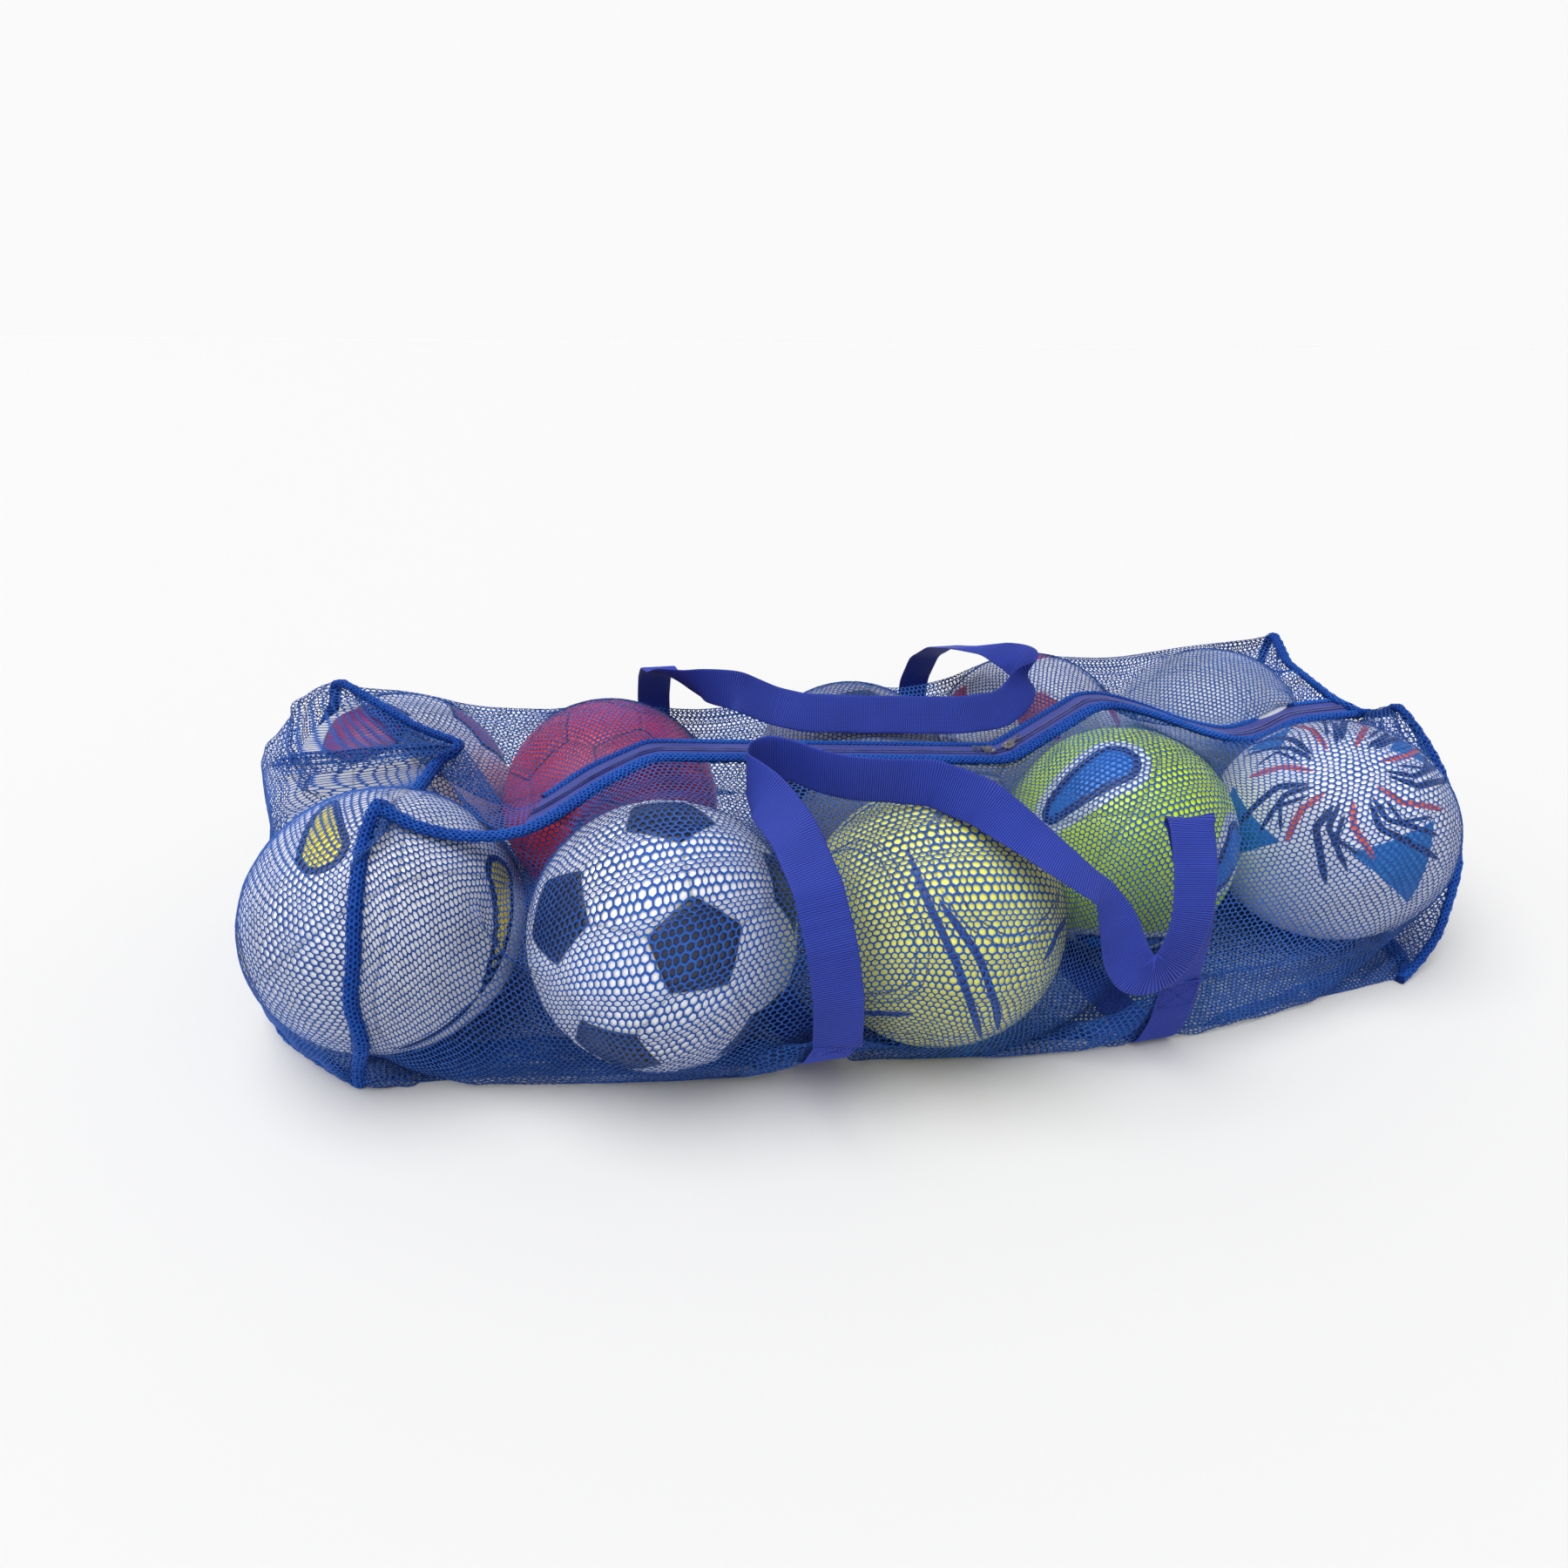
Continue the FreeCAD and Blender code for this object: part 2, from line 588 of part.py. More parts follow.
def make_pull(name, place):
    """Stamped pull: a cross bar under the bridge, two arms, a neck and a finger ring."""
    body = document.addObject("PartDesign::Body", name)
    half = size("pull_width") / 2
    neck = size("pull_neck") / 2
    bar = size("pull_bar") / 2
    slot_end = bar + size("pull_slot")
    reach = size("pull_reach")
    tab = [(-bar, -half), (slot_end + 0.8, -half), (slot_end + 2.4, -neck), (reach, -neck),
           (reach, neck), (slot_end + 2.4, neck), (slot_end + 0.8, half), (-bar, half)]
    level = "-Sizes.pull_thick / 2"
    sketch = new_sketch(body, name + "_tab_outline", "XY_Plane", [tab], level)
    pad(body, name + "_tab", sketch, "Sizes.pull_thick")
    sketch = new_sketch(body, name + "_ring_outline", "XY_Plane",
                        [((reach, 0), size("ring_radius"))], level)
    pad(body, name + "_ring", sketch, "Sizes.pull_thick")
    gap = size("bail_width") / 2 + 0.6
    sketch = new_sketch(body, name + "_slot_outline", "XY_Plane", [box_loop(bar, slot_end, -gap, gap)])
    pocket_through(body, name + "_slot", sketch)
    sketch = new_sketch(body, name + "_hole_outline", "XY_Plane", [((reach, 0), size("ring_hole"))])
    pocket_through(body, name + "_hole", sketch)
    body.Placement = place
    body.Label = name
    return body


for side_name, goal in (("left", ZIP_RISE), ("right", ZIP_CREST)):
    run = goal - ZIP_DIP
    run.normalize()
    across = Vector(0, -1, 0) if goal.x < ZIP_DIP.x else Vector(0, 1, 0)
    lift = run.cross(across)
    turn = Rotation(run, lift.cross(run), lift, "XZY")
    spot = ZIP_DIP + run * size("slider_stand")
    parts.append(make_slider(side_name + "_slider", Placement(spot, turn)))
    pivot = spot + turn.multVec(Vector(size("pull_shift"), 0, plate_top + size("pull_lift")))
    parts.append(make_pull(side_name + "_pull", Placement(pivot, turn)))

# ---------------------------------------------------------------- check and write

document.recompute()
for item in document.Objects:
    if "Invalid" in item.State or "Error" in item.State:
        raise RuntimeError(item.Name + " failed: " + str(item.State))

os.makedirs("parts", exist_ok=True)
for part in parts:
    shape = part.Shape
    if shape.isNull() or not shape.isValid() or shape.Volume <= 0:
        raise RuntimeError(part.Label + " has no valid solid")
    shape.exportStep("parts/" + part.Label + ".step")
    box = shape.BoundBox
    print("%-16s solids %d volume %8.0f  x %7.1f %7.1f  y %7.1f %7.1f  z %6.1f %6.1f" % (
        part.Label, len(shape.Solids), shape.Volume,
        box.XMin, box.XMax, box.YMin, box.YMax, box.ZMin, box.ZMax))
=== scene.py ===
import math

import bmesh
import bpy
import numpy as np
from mathutils import Matrix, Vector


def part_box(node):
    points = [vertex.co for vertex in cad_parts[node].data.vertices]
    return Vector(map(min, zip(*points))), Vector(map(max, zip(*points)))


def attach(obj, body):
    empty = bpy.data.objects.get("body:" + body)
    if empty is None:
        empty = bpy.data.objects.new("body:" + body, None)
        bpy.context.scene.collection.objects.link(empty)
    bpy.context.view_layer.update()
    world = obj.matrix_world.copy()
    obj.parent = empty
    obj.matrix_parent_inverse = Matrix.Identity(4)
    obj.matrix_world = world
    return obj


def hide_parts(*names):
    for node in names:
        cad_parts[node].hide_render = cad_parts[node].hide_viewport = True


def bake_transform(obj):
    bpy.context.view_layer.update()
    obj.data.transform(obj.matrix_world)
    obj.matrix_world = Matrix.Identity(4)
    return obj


# Mesh ball bag: a draped hexagonal net over ten footballs, with rolled seams, a zip and
# two webbing handles.  Metres; +X along the bag, -Y its front, +Z up, the floor at z = 0.

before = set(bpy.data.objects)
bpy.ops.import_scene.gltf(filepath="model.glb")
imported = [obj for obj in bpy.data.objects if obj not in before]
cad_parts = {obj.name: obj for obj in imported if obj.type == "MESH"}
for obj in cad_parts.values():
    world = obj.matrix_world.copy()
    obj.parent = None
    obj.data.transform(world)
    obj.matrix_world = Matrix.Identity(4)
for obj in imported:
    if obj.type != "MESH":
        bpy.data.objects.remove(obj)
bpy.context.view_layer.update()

# ---------------------------------------------------------------- sizes

NET_PITCH = 0.0053        # holes side by side, along the bag
NET_ROW = 0.0039          # rows of holes
NET_HOLE = 0.75           # width of a hole over the pitch, and where the net is less stretched
NET_HOLES = {"back_net": 0.74, "bottom_net": 0.66, "right_end_net": 0.72}
STRAND_RISE = 0.00046     # middle of a strand above its edges
STRAND_SINK = 0.0001
NET_OFF = 0.0014          # the net's middle above what it lies on
NET_SCATTER = 0.00009     # unevenness of the knitting
NET_GIVE = 0.0004         # how much nearer to a ball the net's middle may come
BALL_GAP = 0.0002         # yarn and cover each keep this far from the ball's own size
NET_LOWEST = 0.0004       # lowest edge of a strand, and its crest's height over that
FLOOR_GAP = 0.0012        # the drape's points above the floor
FINE = 0.001              # spacing of the points of a line before its corners are rounded

WEBBING_WIDTH = 0.038
WEBBING_THICK = 0.0014
RIB_PITCH = 0.0017
RIB_DEPTH = 0.00022
BEND_HEIGHT = 0.085       # the handles bend here, where the sewn bands end

SEAM_WIDTH = 0.0100
SEAM_THICK = 0.0072
FRONT_HEM = (0.0140, 0.0062)     # width and thickness
BACK_HEM = (0.0070, 0.0030)
ROLL_NET = (0.0046, 0.0036, 0.6)     # pitch, row and hole of the closer net on a roll
ROLL_CORE = 0.43                     # half size of a roll's core over the roll's size
ROLL_YARN = (-0.0002, 0.0007)        # a strand's edge on the roll, and its crest above that
ROLL_LOWEST = 0.0003
CORE_LOWEST = 0.0006
SEAM_OUT = 0.0022                    # an end seam's middle beyond the net's edge
SEAM_LOWEST = 0.0036
HEM_RISE = 0.0008

TAPE_THICK = 0.0009
COIL_PITCH = 0.00127
COIL_INNER = 0.0012
COIL_OUTER = 0.0037
COIL_HIGH = 0.0016
COIL_POINTS = 5           # points of the coil at every pitch

# ---------------------------------------------------------------- the drape's grid and goals

STEP = 0.012              # one cell of the drape, along and around the bag
CELLS = (92, 27, 22)      # along the bag, across it and up it
ZIP_COLUMN = 13           # the last row of points in front of the zip
ZIP_GAP = 0.036
LEFT_FLARE = 1.3          # the left end panel is cut this much wider than the right
FRONT_TAUT = 0.965        # the front is pulled this tight along the bag

BALL_NAMES = ["ball_%s_%d" % (row, number) for row in ("front", "back") for number in range(1, 6)]


def ball_centre(name):
    low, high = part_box(name)
    return (np.array(low) + np.array(high)) / 2


BALL_CENTRES = np.array([ball_centre(name) for name in BALL_NAMES])
low_corner, high_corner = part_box(BALL_NAMES[0])
BALL_RADIUS = (high_corner.x - low_corner.x) / 2

# Centre line of the zip on the stretches where the sliders run, as in the CAD.
ZIP_RISE = (-0.215, 0.010, 0.2085)
ZIP_DIP = (0.128, -0.018, 0.1862)
ZIP_CREST = (0.245, 0.032, 0.2140)
HEM_REACH = 0.019         # zip centre line to the middle of each hem


def beside_zip(point, side):
    x, y, z = point
    return (x, y + side * HEM_REACH, z)


ZIP_FRONT = [(-0.405, 0.035, 0.203), (-0.392, 0.000, 0.194), (-0.368, -0.060, 0.188),
             (-0.335, -0.092, 0.187), (-0.300, -0.066, 0.190), (-0.262, -0.032, 0.197),
             beside_zip(ZIP_RISE, -1), beside_zip(ZIP_DIP, -1), beside_zip(ZIP_CREST, -1),
             (0.276, 0.020, 0.211), (0.320, 0.005, 0.200), (0.357, -0.014, 0.187),
             (0.407, -0.022, 0.174), (0.452, -0.008, 0.173), (0.499, 0.010, 0.180),
             (0.574, 0.008, 0.182)]
ZIP_BACK = [(-0.385, 0.060, 0.205), (-0.365, 0.020, 0.192), (-0.347, -0.030, 0.186),
            (-0.334, -0.052, 0.185), (-0.315, -0.034, 0.188), (-0.272, 0.006, 0.197),
            beside_zip(ZIP_RISE, 1), beside_zip(ZIP_DIP, 1), beside_zip(ZIP_CREST, 1),
            (0.276, 0.058, 0.211), (0.320, 0.043, 0.200), (0.357, 0.024, 0.187),
            (0.407, 0.016, 0.174), (0.452, 0.030, 0.173), (0.499, 0.048, 0.181),
            (0.572, 0.046, 0.184)]
ZIP_SOFTEN = (0.005, 0.013)     # roundness of its corners: where the sliders run, elsewhere
ZIP_EASE = 0.04                 # length over which one roundness passes into the other
LEFT_FRONT_SEAM = [(-0.476, -0.149, 0.003), (-0.471, -0.161, 0.031), (-0.455, -0.187, 0.075),
                   (-0.456, -0.190, 0.116), (-0.448, -0.185, 0.150), (-0.445, -0.171, 0.178),
                   (-0.442, -0.149, 0.201), (-0.439, -0.123, 0.216), (-0.430, -0.106, 0.234)]
LEFT_BACK_SEAM = [(-0.555, 0.185, 0.003), (-0.572, 0.205, 0.060), (-0.565, 0.200, 0.130),
                  (-0.540, 0.180, 0.190), (-0.503, 0.151, 0.245)]
LEFT_TOP_FRONT = [(-0.430, -0.106, 0.234), (-0.424, -0.075, 0.206), (-0.405, 0.035, 0.203)]
LEFT_TOP_BACK = [(-0.385, 0.060, 0.205), (-0.430, 0.095, 0.212), (-0.503, 0.151, 0.245)]
LEFT_FLOOR = [(-0.476, -0.149, 0.003), (-0.550, -0.075, 0.002), (-0.590, 0.008, 0.002),
              (-0.594, 0.100, 0.002), (-0.555, 0.185, 0.003)]
EAR_FOLD = [(-0.430, -0.106, 0.232), (-0.405, -0.112, 0.214), (-0.375, -0.112, 0.202),
            (-0.345, -0.104, 0.194), (-0.322, -0.090, 0.191), (-0.296, -0.064, 0.191)]
LEFT_FOLDS = [(-0.548, 0.060, 0.198), (-0.525, 0.050, 0.204), (-0.500, 0.040, 0.207),
              (-0.460, 0.042, 0.208), (-0.425, 0.044, 0.209), (-0.395, 0.040, 0.208)]
ZIP_START = -0.332
LEFT_BULGE_HIGH = [(-0.536, -0.012, 0.210), (-0.562, 0.050, 0.212), (-0.566, 0.100, 0.216),
                   (-0.558, 0.152, 0.230), (-0.530, 0.160, 0.238)]
LEFT_BULGE = [(-0.544, -0.020, 0.189), (-0.565, 0.050, 0.188), (-0.584, 0.120, 0.188),
              (-0.588, 0.150, 0.190), (-0.572, 0.180, 0.190)]
RIGHT_FRONT_SEAM = [(0.474, -0.217, 0.003), (0.502, -0.207, 0.014), (0.528, -0.196, 0.034),
                    (0.562, -0.168, 0.062), (0.575, -0.154, 0.087), (0.578, -0.103, 0.160),
                    (0.578, -0.075, 0.181), (0.575, -0.051, 0.198), (0.570, -0.038, 0.208)]
RIGHT_BACK_SEAM = [(0.555, 0.190, 0.003), (0.575, 0.180, 0.100), (0.564, 0.150, 0.230)]
RIGHT_TOP_FRONT = [(0.570, -0.038, 0.208), (0.572, -0.020, 0.192), (0.574, 0.008, 0.182)]
RIGHT_TOP_BACK = [(0.572, 0.046, 0.184), (0.565, 0.066, 0.193), (0.557, 0.111, 0.208),
                  (0.564, 0.150, 0.230)]
BACK_RIDGE = [(-0.503, 0.151, 0.245), (-0.454, 0.160, 0.236), (-0.418, 0.165, 0.226),
              (-0.371, 0.170, 0.212), (-0.308, 0.170, 0.198), (-0.238, 0.166, 0.199),
              (-0.150, 0.165, 0.190), (-0.060, 0.160, 0.194), (0.025, 0.155, 0.208),
              (0.085, 0.165, 0.198), (0.149, 0.172, 0.203), (0.220, 0.185, 0.216),
              (0.357, 0.180, 0.215), (0.486, 0.170, 0.223), (0.564, 0.150, 0.230)]
FRONT_FLOOR = [(-0.476, -0.149), (-0.375, -0.166), (-0.277, -0.185), (-0.169, -0.200),
               (-0.066, -0.201), (0.057, -0.225), (0.146, -0.236), (0.262, -0.238),
               (0.350, -0.226), (0.420, -0.222), (0.474, -0.217)]
FLOOR_LEFT = [(-0.598, 0.0), (-0.55, -0.075)]
FLOOR_RIGHT = [(0.556, -0.165)]
BACK_ENDS = (-0.54, 0.56)
GOAL_FLOOR = 0.0015
BAND_ROWS = 8             # points up the net that a band leads
# How far forward the net may reach at the balls' widest, above its floor line.
FRONT_REACH = [(-0.600, -0.050), (-0.500, -0.175), (-0.445, -0.193), (-0.222, -0.262),
               (0.005, -0.283), (0.190, -0.262), (0.450, -0.224), (0.530, -0.200),
               (0.575, -0.170), (0.600, -0.100)]

# Each webbing band: where it stands on the front and on the back, at its top and its foot.
BANDS = {
    "left_band": {"front": ((-0.108, -0.2705), -0.200), "back": ((-0.1887, 0.2617), 0.205)},
    "right_band": {"front": ((0.189, -0.2585), -0.240), "back": ((0.1410, 0.2595), 0.205)},
}


def run_along(line):
    """How far along a line each of its points is."""
    gaps = np.linalg.norm(np.diff(line, axis=0), axis=1)
    return np.concatenate([[0], np.cumsum(gaps)])


def line_length(line):
    return float(np.linalg.norm(np.diff(line, axis=0), axis=1).sum())


def sampled(values, at, run=None):
    """Rows of values read off at places along a run, which is their numbers if not given."""
    run = np.arange(len(values)) if run is None else run
    return np.stack([np.interp(at, run, column) for column in values.T], 1)


def along(points, count):
    """Points at even spacing along a line of corners."""
    points = np.array(points, float)
    run = run_along(points)
    return sampled(points, np.linspace(0, run[-1], count), run)


def softened(values, soften):
    """Rounds the corners of a finely sampled line, with its ends kept."""
    reach = int(round(3 * soften / FINE))
    kernel = np.exp(-0.5 * (np.arange(-reach, reach + 1) * FINE / soften) ** 2)
    kernel /= kernel.sum()
    padded = np.pad(values, ((reach, reach), (0, 0)), mode="reflect", reflect_type="odd")
    return np.stack([np.convolve(column, kernel, mode="valid") for column in padded.T], 1)


def zip_side(stations, count):
    """One side of the zip, less rounded where the sliders run."""
    stations = np.array(stations)
    fine = along(stations, int(line_length(stations) / FINE) + 1)
    tight, loose = (softened(fine, soften) for soften in ZIP_SOFTEN)
    beyond = np.maximum(ZIP_RISE[0] - fine[:, :1], fine[:, :1] - ZIP_CREST[0])
    share = np.clip(beyond / ZIP_EASE, 0, 1)
    return along(tight * (1 - share) + loose * share, count)


def box_grid():
    """Numbers the points of a box's skin, and gives each one's place in the box."""
    shape = tuple(cells + 1 for cells in CELLS)
    index = -np.ones(shape, int)
    i, j, k = np.meshgrid(*[np.arange(size) for size in shape], indexing="ij")
    nx, ny, nz = CELLS
    skin = (i == 0) | (i == nx) | (j == 0) | (j == ny) | (k == 0) | (k == nz)
    index[skin] = np.arange(skin.sum())
    return index, np.stack([i[skin], j[skin], k[skin]], 1)


def panel_faces(index):
    """The points of each panel, with how wide its cells are cut."""
    return [
        (index[:, 0, :], STEP * FRONT_TAUT), (index[:, -1, :], STEP), (index[:, :, 0], STEP),
        (index[:, :ZIP_COLUMN + 1, -1], STEP * FRONT_TAUT), (index[:, ZIP_COLUMN + 1:, -1], STEP),
        (index[0, :, :], STEP * LEFT_FLARE), (index[-1, :, :], STEP),
    ]


def net_links(faces):
    """Every distance that the net holds: its rest length and its stiffness to pull and push."""
    found = {}

    def add(starts, ends, rest, pull, push):
        for a, b in zip(starts.ravel(), ends.ravel()):
            found.setdefault((min(a, b), max(a, b)), (rest, pull, push))

    for face, wide in faces:
        slant = math.hypot(wide, STEP)
        add(face[:-1, :], face[1:, :], wide, 1.0, 0.15)
        add(face[:, :-1], face[:, 1:], STEP, 1.0, 0.15)
        add(face[:-1, :-1], face[1:, 1:], slant, 0.12, 0.08)
        add(face[1:, :-1], face[:-1, 1:], slant, 0.12, 0.08)
        for reach, push in ((2, 0.12), (4, 0.12), (8, 0.06)):
            add(face[:-reach, :], face[reach:, :], reach * wide, 0.0, push)
        for reach, push in ((2, 0.12), (4, 0.05)):
            add(face[:, :-reach], face[:, reach:], reach * STEP, 0.0, push)
    return np.array(list(found)), np.array(list(found.values()))


def link_groups(pairs, count):
    """Groups the links so that no point is twice in a group."""
    used = [set() for _ in range(count)]
    group = np.zeros(len(pairs), int)
    for number, (a, b) in enumerate(pairs):
        colour = 0
        while colour in used[a] or colour in used[b]:
            colour += 1
        used[a].add(colour)
        used[b].add(colour)
        group[number] = colour
    return group


def drape_goals(index):
    """Where seams, zip, bands and the floor line lead the net, and how firmly."""
    nx, ny, nz = CELLS
    back = ZIP_COLUMN + 1
    goals = {}

    def aim(points, line, strength):
        for point, place in zip(points, line):
            goals[point] = (place, strength)

    aim(index[:, ZIP_COLUMN, nz], zip_side(ZIP_FRONT, nx + 1), 1.0)
    aim(index[:, back, nz], zip_side(ZIP_BACK, nx + 1), 1.0)
    for points, line, strength in (
            (index[0, 0, :], LEFT_FRONT_SEAM, 1.0), (index[nx, 0, :], RIGHT_FRONT_SEAM, 1.0),
            (index[0, :back, nz], LEFT_TOP_FRONT, 1.0), (index[0, back:, nz], LEFT_TOP_BACK, 1.0),
            (index[nx, :back, nz], RIGHT_TOP_FRONT, 1.0),
            (index[nx, back:, nz], RIGHT_TOP_BACK, 1.0),
            (index[0, ny, :], LEFT_BACK_SEAM, 0.3), (index[nx, ny, :], RIGHT_BACK_SEAM, 0.3),
            (index[0, 11:24, 16], LEFT_BULGE, 0.3), (index[0, 12:26, 19], LEFT_BULGE_HIGH, 0.4)):
        aim(points, along(line, len(points)), strength)
    aim(index[1:-1, ny, nz], along(BACK_RIDGE, nx + 1)[1:-1], 0.25)
    aim(index[0, 1:, 0], along(LEFT_FLOOR, ny + 1)[1:], 0.5)
    front_line = along([(x, y, GOAL_FLOOR) for x, y in FRONT_FLOOR], nx + 1)
    aim(index[1:-1, 0, 0], front_line[1:-1], 0.3)
    columns = {"front": front_line[:, 0], "back": np.linspace(*BACK_ENDS, nx + 1)}
    for sides in BANDS.values():
        for side, face in (("front", 0), ("back", ny)):
            (x, top_y), foot_y = sides[side]
            column = int(np.argmin(abs(columns[side] - x)))
            for step in (-1, 0, 1):
                at = x + step * STEP
                line = along([(at, foot_y, GOAL_FLOOR), (at, top_y, BEND_HEIGHT)], BAND_ROWS)
                aim(index[column + step, face, :BAND_ROWS], line, 0.6)
    return goals


DRAPE_STEPS = 700
LEAD_STEPS = 160          # steps over which the net is led to its goals
SLACK_STEPS = 350         # and over which the limits close in on it
SLACK = 0.12
TICK = 1 / 240
GRAVITY = 9.8
SPEED_KEPT = 0.985
FLOOR_KEPT = 0.9          # and on the floor
START_LOW = (-0.57, -0.275, 0.002)        # corners of the box that the net starts as
START_HIGH = (0.59, 0.265, 0.242)
START_SKEW = 0.06
LEFT_LIMIT = -0.598
RIGHT_LIMIT = (0.562, 0.022, 0.08)        # at the floor, how much further up, and up to where
WALL_LIMIT = (-0.47, 0.13)                # the front wall's left end and its height
WALL_PLAY = 0.004
WALL_CURVE = 0.7
LONGEST_FALL = 0.003                      # longest moves of a point in one step
LONGEST_MOVE = 0.004


def at_most(moves, limit):
    """Moves cut down to a longest length."""
    length = np.linalg.norm(moves, axis=1, keepdims=True)
    return moves * np.minimum(1, limit / np.maximum(length, 1e-9))


def drape():
    """Lets the net fall on the balls and the floor, led by its goals, and gives its points."""
    index, cells = box_grid()
    pairs, values = net_links(panel_faces(index))
    for end in (0, -1):
        for a, b in zip(index[end, ZIP_COLUMN, :], index[end, ZIP_COLUMN + 1, :]):
            hit = (pairs[:, 0] == min(a, b)) & (pairs[:, 1] == max(a, b))
            values[hit, 0] = ZIP_GAP
    share = cells / np.array(CELLS)
    low_end = np.broadcast_to(START_LOW, share.shape).copy()
    low_end[:, 0] += START_SKEW * (0.5 - share[:, 1])
    place = low_end + (START_HIGH - low_end) * share
    group = link_groups(pairs, len(cells))
    batches = []
    for colour in range(group.max() + 1):
        pick = group == colour
        batches.append((pairs[pick, 0], pairs[pick, 1], *values[pick].T))
    goals = drape_goals(index)
    goal_points = np.array(list(goals))
    goal_places = np.array([goals[point][0] for point in goal_points])
    strength = np.array([goals[point][1] for point in goal_points])[:, None]
    pinned = strength[:, 0] >= 1
    first_places = place[goal_points]
    floor_x, floor_y = np.array(FLOOR_LEFT + FRONT_FLOOR + FLOOR_RIGHT).T
    reach_x, reach_y = np.array(FRONT_REACH).T
    reach = BALL_RADIUS + NET_OFF - BALL_GAP
    speed = np.zeros_like(place)
    for step in range(DRAPE_STEPS):
        speed[:, 2] -= GRAVITY * TICK
        before = place.copy()
        place += at_most(speed * TICK, LONGEST_FALL)
        for a, b, rest, pull, push in batches:
            gap = place[b] - place[a]
            length = np.sqrt((gap * gap).sum(1)) + 1e-9
            off = length - rest
            stiff = np.where(off > 0, pull, push)
            shift = (0.5 * stiff * off / length)[:, None] * gap
            place[a] += shift
            place[b] -= shift
        blend = min(1.0, (step + 1) / LEAD_STEPS)
        aims = first_places * (1 - blend) + goal_places * blend
        place[goal_points] += strength * (aims - place[goal_points])
        slack = SLACK * (1 - min(1.0, step / SLACK_STEPS))
        shelf = np.interp(place[:, 0], floor_x, floor_y)
        hull = np.interp(place[:, 0], reach_x, reach_y)
        rise = np.clip(place[:, 2] / BALL_RADIUS, 0, 1) ** WALL_CURVE
        wall = shelf + (hull - shelf) * rise - slack - WALL_PLAY
        near = (place[:, 2] < WALL_LIMIT[1]) & (place[:, 0] > WALL_LIMIT[0])
        place[near, 1] = np.maximum(place[near, 1], wall[near])
        foot, lean, top = RIGHT_LIMIT
        far_right = foot + slack + lean * np.clip(place[:, 2] / top, 0, 1)
        place[:, 0] = np.clip(place[:, 0], LEFT_LIMIT, far_right)
        touching = push_off_balls(place, reach)
        low = place[:, 2] < FLOOR_GAP
        place[low, 2] = FLOOR_GAP
        place[goal_points[pinned]] = aims[pinned]
        change = at_most(place - before, LONGEST_MOVE)
        place = before + change
        speed = change / TICK * SPEED_KEPT
        speed[touching] *= SPEED_KEPT
        speed[low] *= FLOOR_KEPT
    return index, place


def push_off_balls(points, reach):
    """Moves points that are inside a ball out to its surface, and says which they were."""
    touching = np.zeros(len(points), bool)
    for centre in BALL_CENTRES:
        out = points - centre
        near = (out * out).sum(1) < reach * reach
        if near.any():
            length = np.linalg.norm(out[near], axis=1, keepdims=True)
            points[near] = centre + out[near] / length * reach
            touching |= near
    return touching


# ---------------------------------------------------------------- meshes


def mesh_piece(name, points, faces, material):
    """A new object from arrays: points and faces that all have the same number of corners."""
    faces = np.asarray(faces, np.int32)
    corners = faces.shape[1]
    mesh = bpy.data.meshes.new(name)
    mesh.vertices.add(len(points))
    mesh.vertices.foreach_set("co", np.asarray(points, np.float32).ravel())
    mesh.loops.add(faces.size)
    mesh.loops.foreach_set("vertex_index", faces.ravel())
    mesh.polygons.add(len(faces))
    mesh.polygons.foreach_set("loop_start", np.arange(0, faces.size, corners, dtype=np.int32))
    mesh.polygons.foreach_set("use_smooth", np.ones(len(faces), bool))
    mesh.update(calc_edges=True)
    mesh.validate()
    mesh.materials.append(material)
    piece = bpy.data.objects.new(name, mesh)
    bpy.context.scene.collection.objects.link(piece)
    return piece


def finish_piece(piece, body, slot, *nodes):
    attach(piece, body)
    if nodes:
        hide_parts(*nodes)


def unit(vectors):
    return vectors / np.maximum(np.linalg.norm(vectors, axis=-1, keepdims=True), 1e-12)


def curve_weights(t):
    """Catmull-Rom weights of the four points about each share of the way."""
    return np.stack([-t ** 3 + 2 * t ** 2 - t, 3 * t ** 3 - 5 * t ** 2 + 2,
                     -3 * t ** 3 + 4 * t ** 2 + t, t ** 3 - t ** 2], -1) / 2


def on_surface(grid, a, b):
    """Points of a smooth surface through a grid, at places counted in cells."""
    padded = np.pad(grid, ((1, 1), (1, 1), (0, 0)), mode="reflect", reflect_type="odd")
    base_a = np.clip(np.floor(a).astype(int), 0, grid.shape[0] - 2)
    base_b = np.clip(np.floor(b).astype(int), 0, grid.shape[1] - 2)
    weight_a = curve_weights(a - base_a)
    weight_b = curve_weights(b - base_b)
    result = np.zeros((len(a), 3))
    for i in range(4):
        for j in range(4):
            weight = (weight_a[:, i] * weight_b[:, j])[:, None]
            result += weight * padded[base_a + i, base_b + j]
    return result


def surface_normals(grid, a, b, turn):
    """Outward normals there; turn is 1 or -1 for the grid's own handedness."""
    nudge = 0.1
    along_a = on_surface(grid, a + nudge, b) - on_surface(grid, a - nudge, b)
    along_b = on_surface(grid, a, b + nudge) - on_surface(grid, a, b - nudge)
    return unit(np.cross(along_a, along_b)) * turn


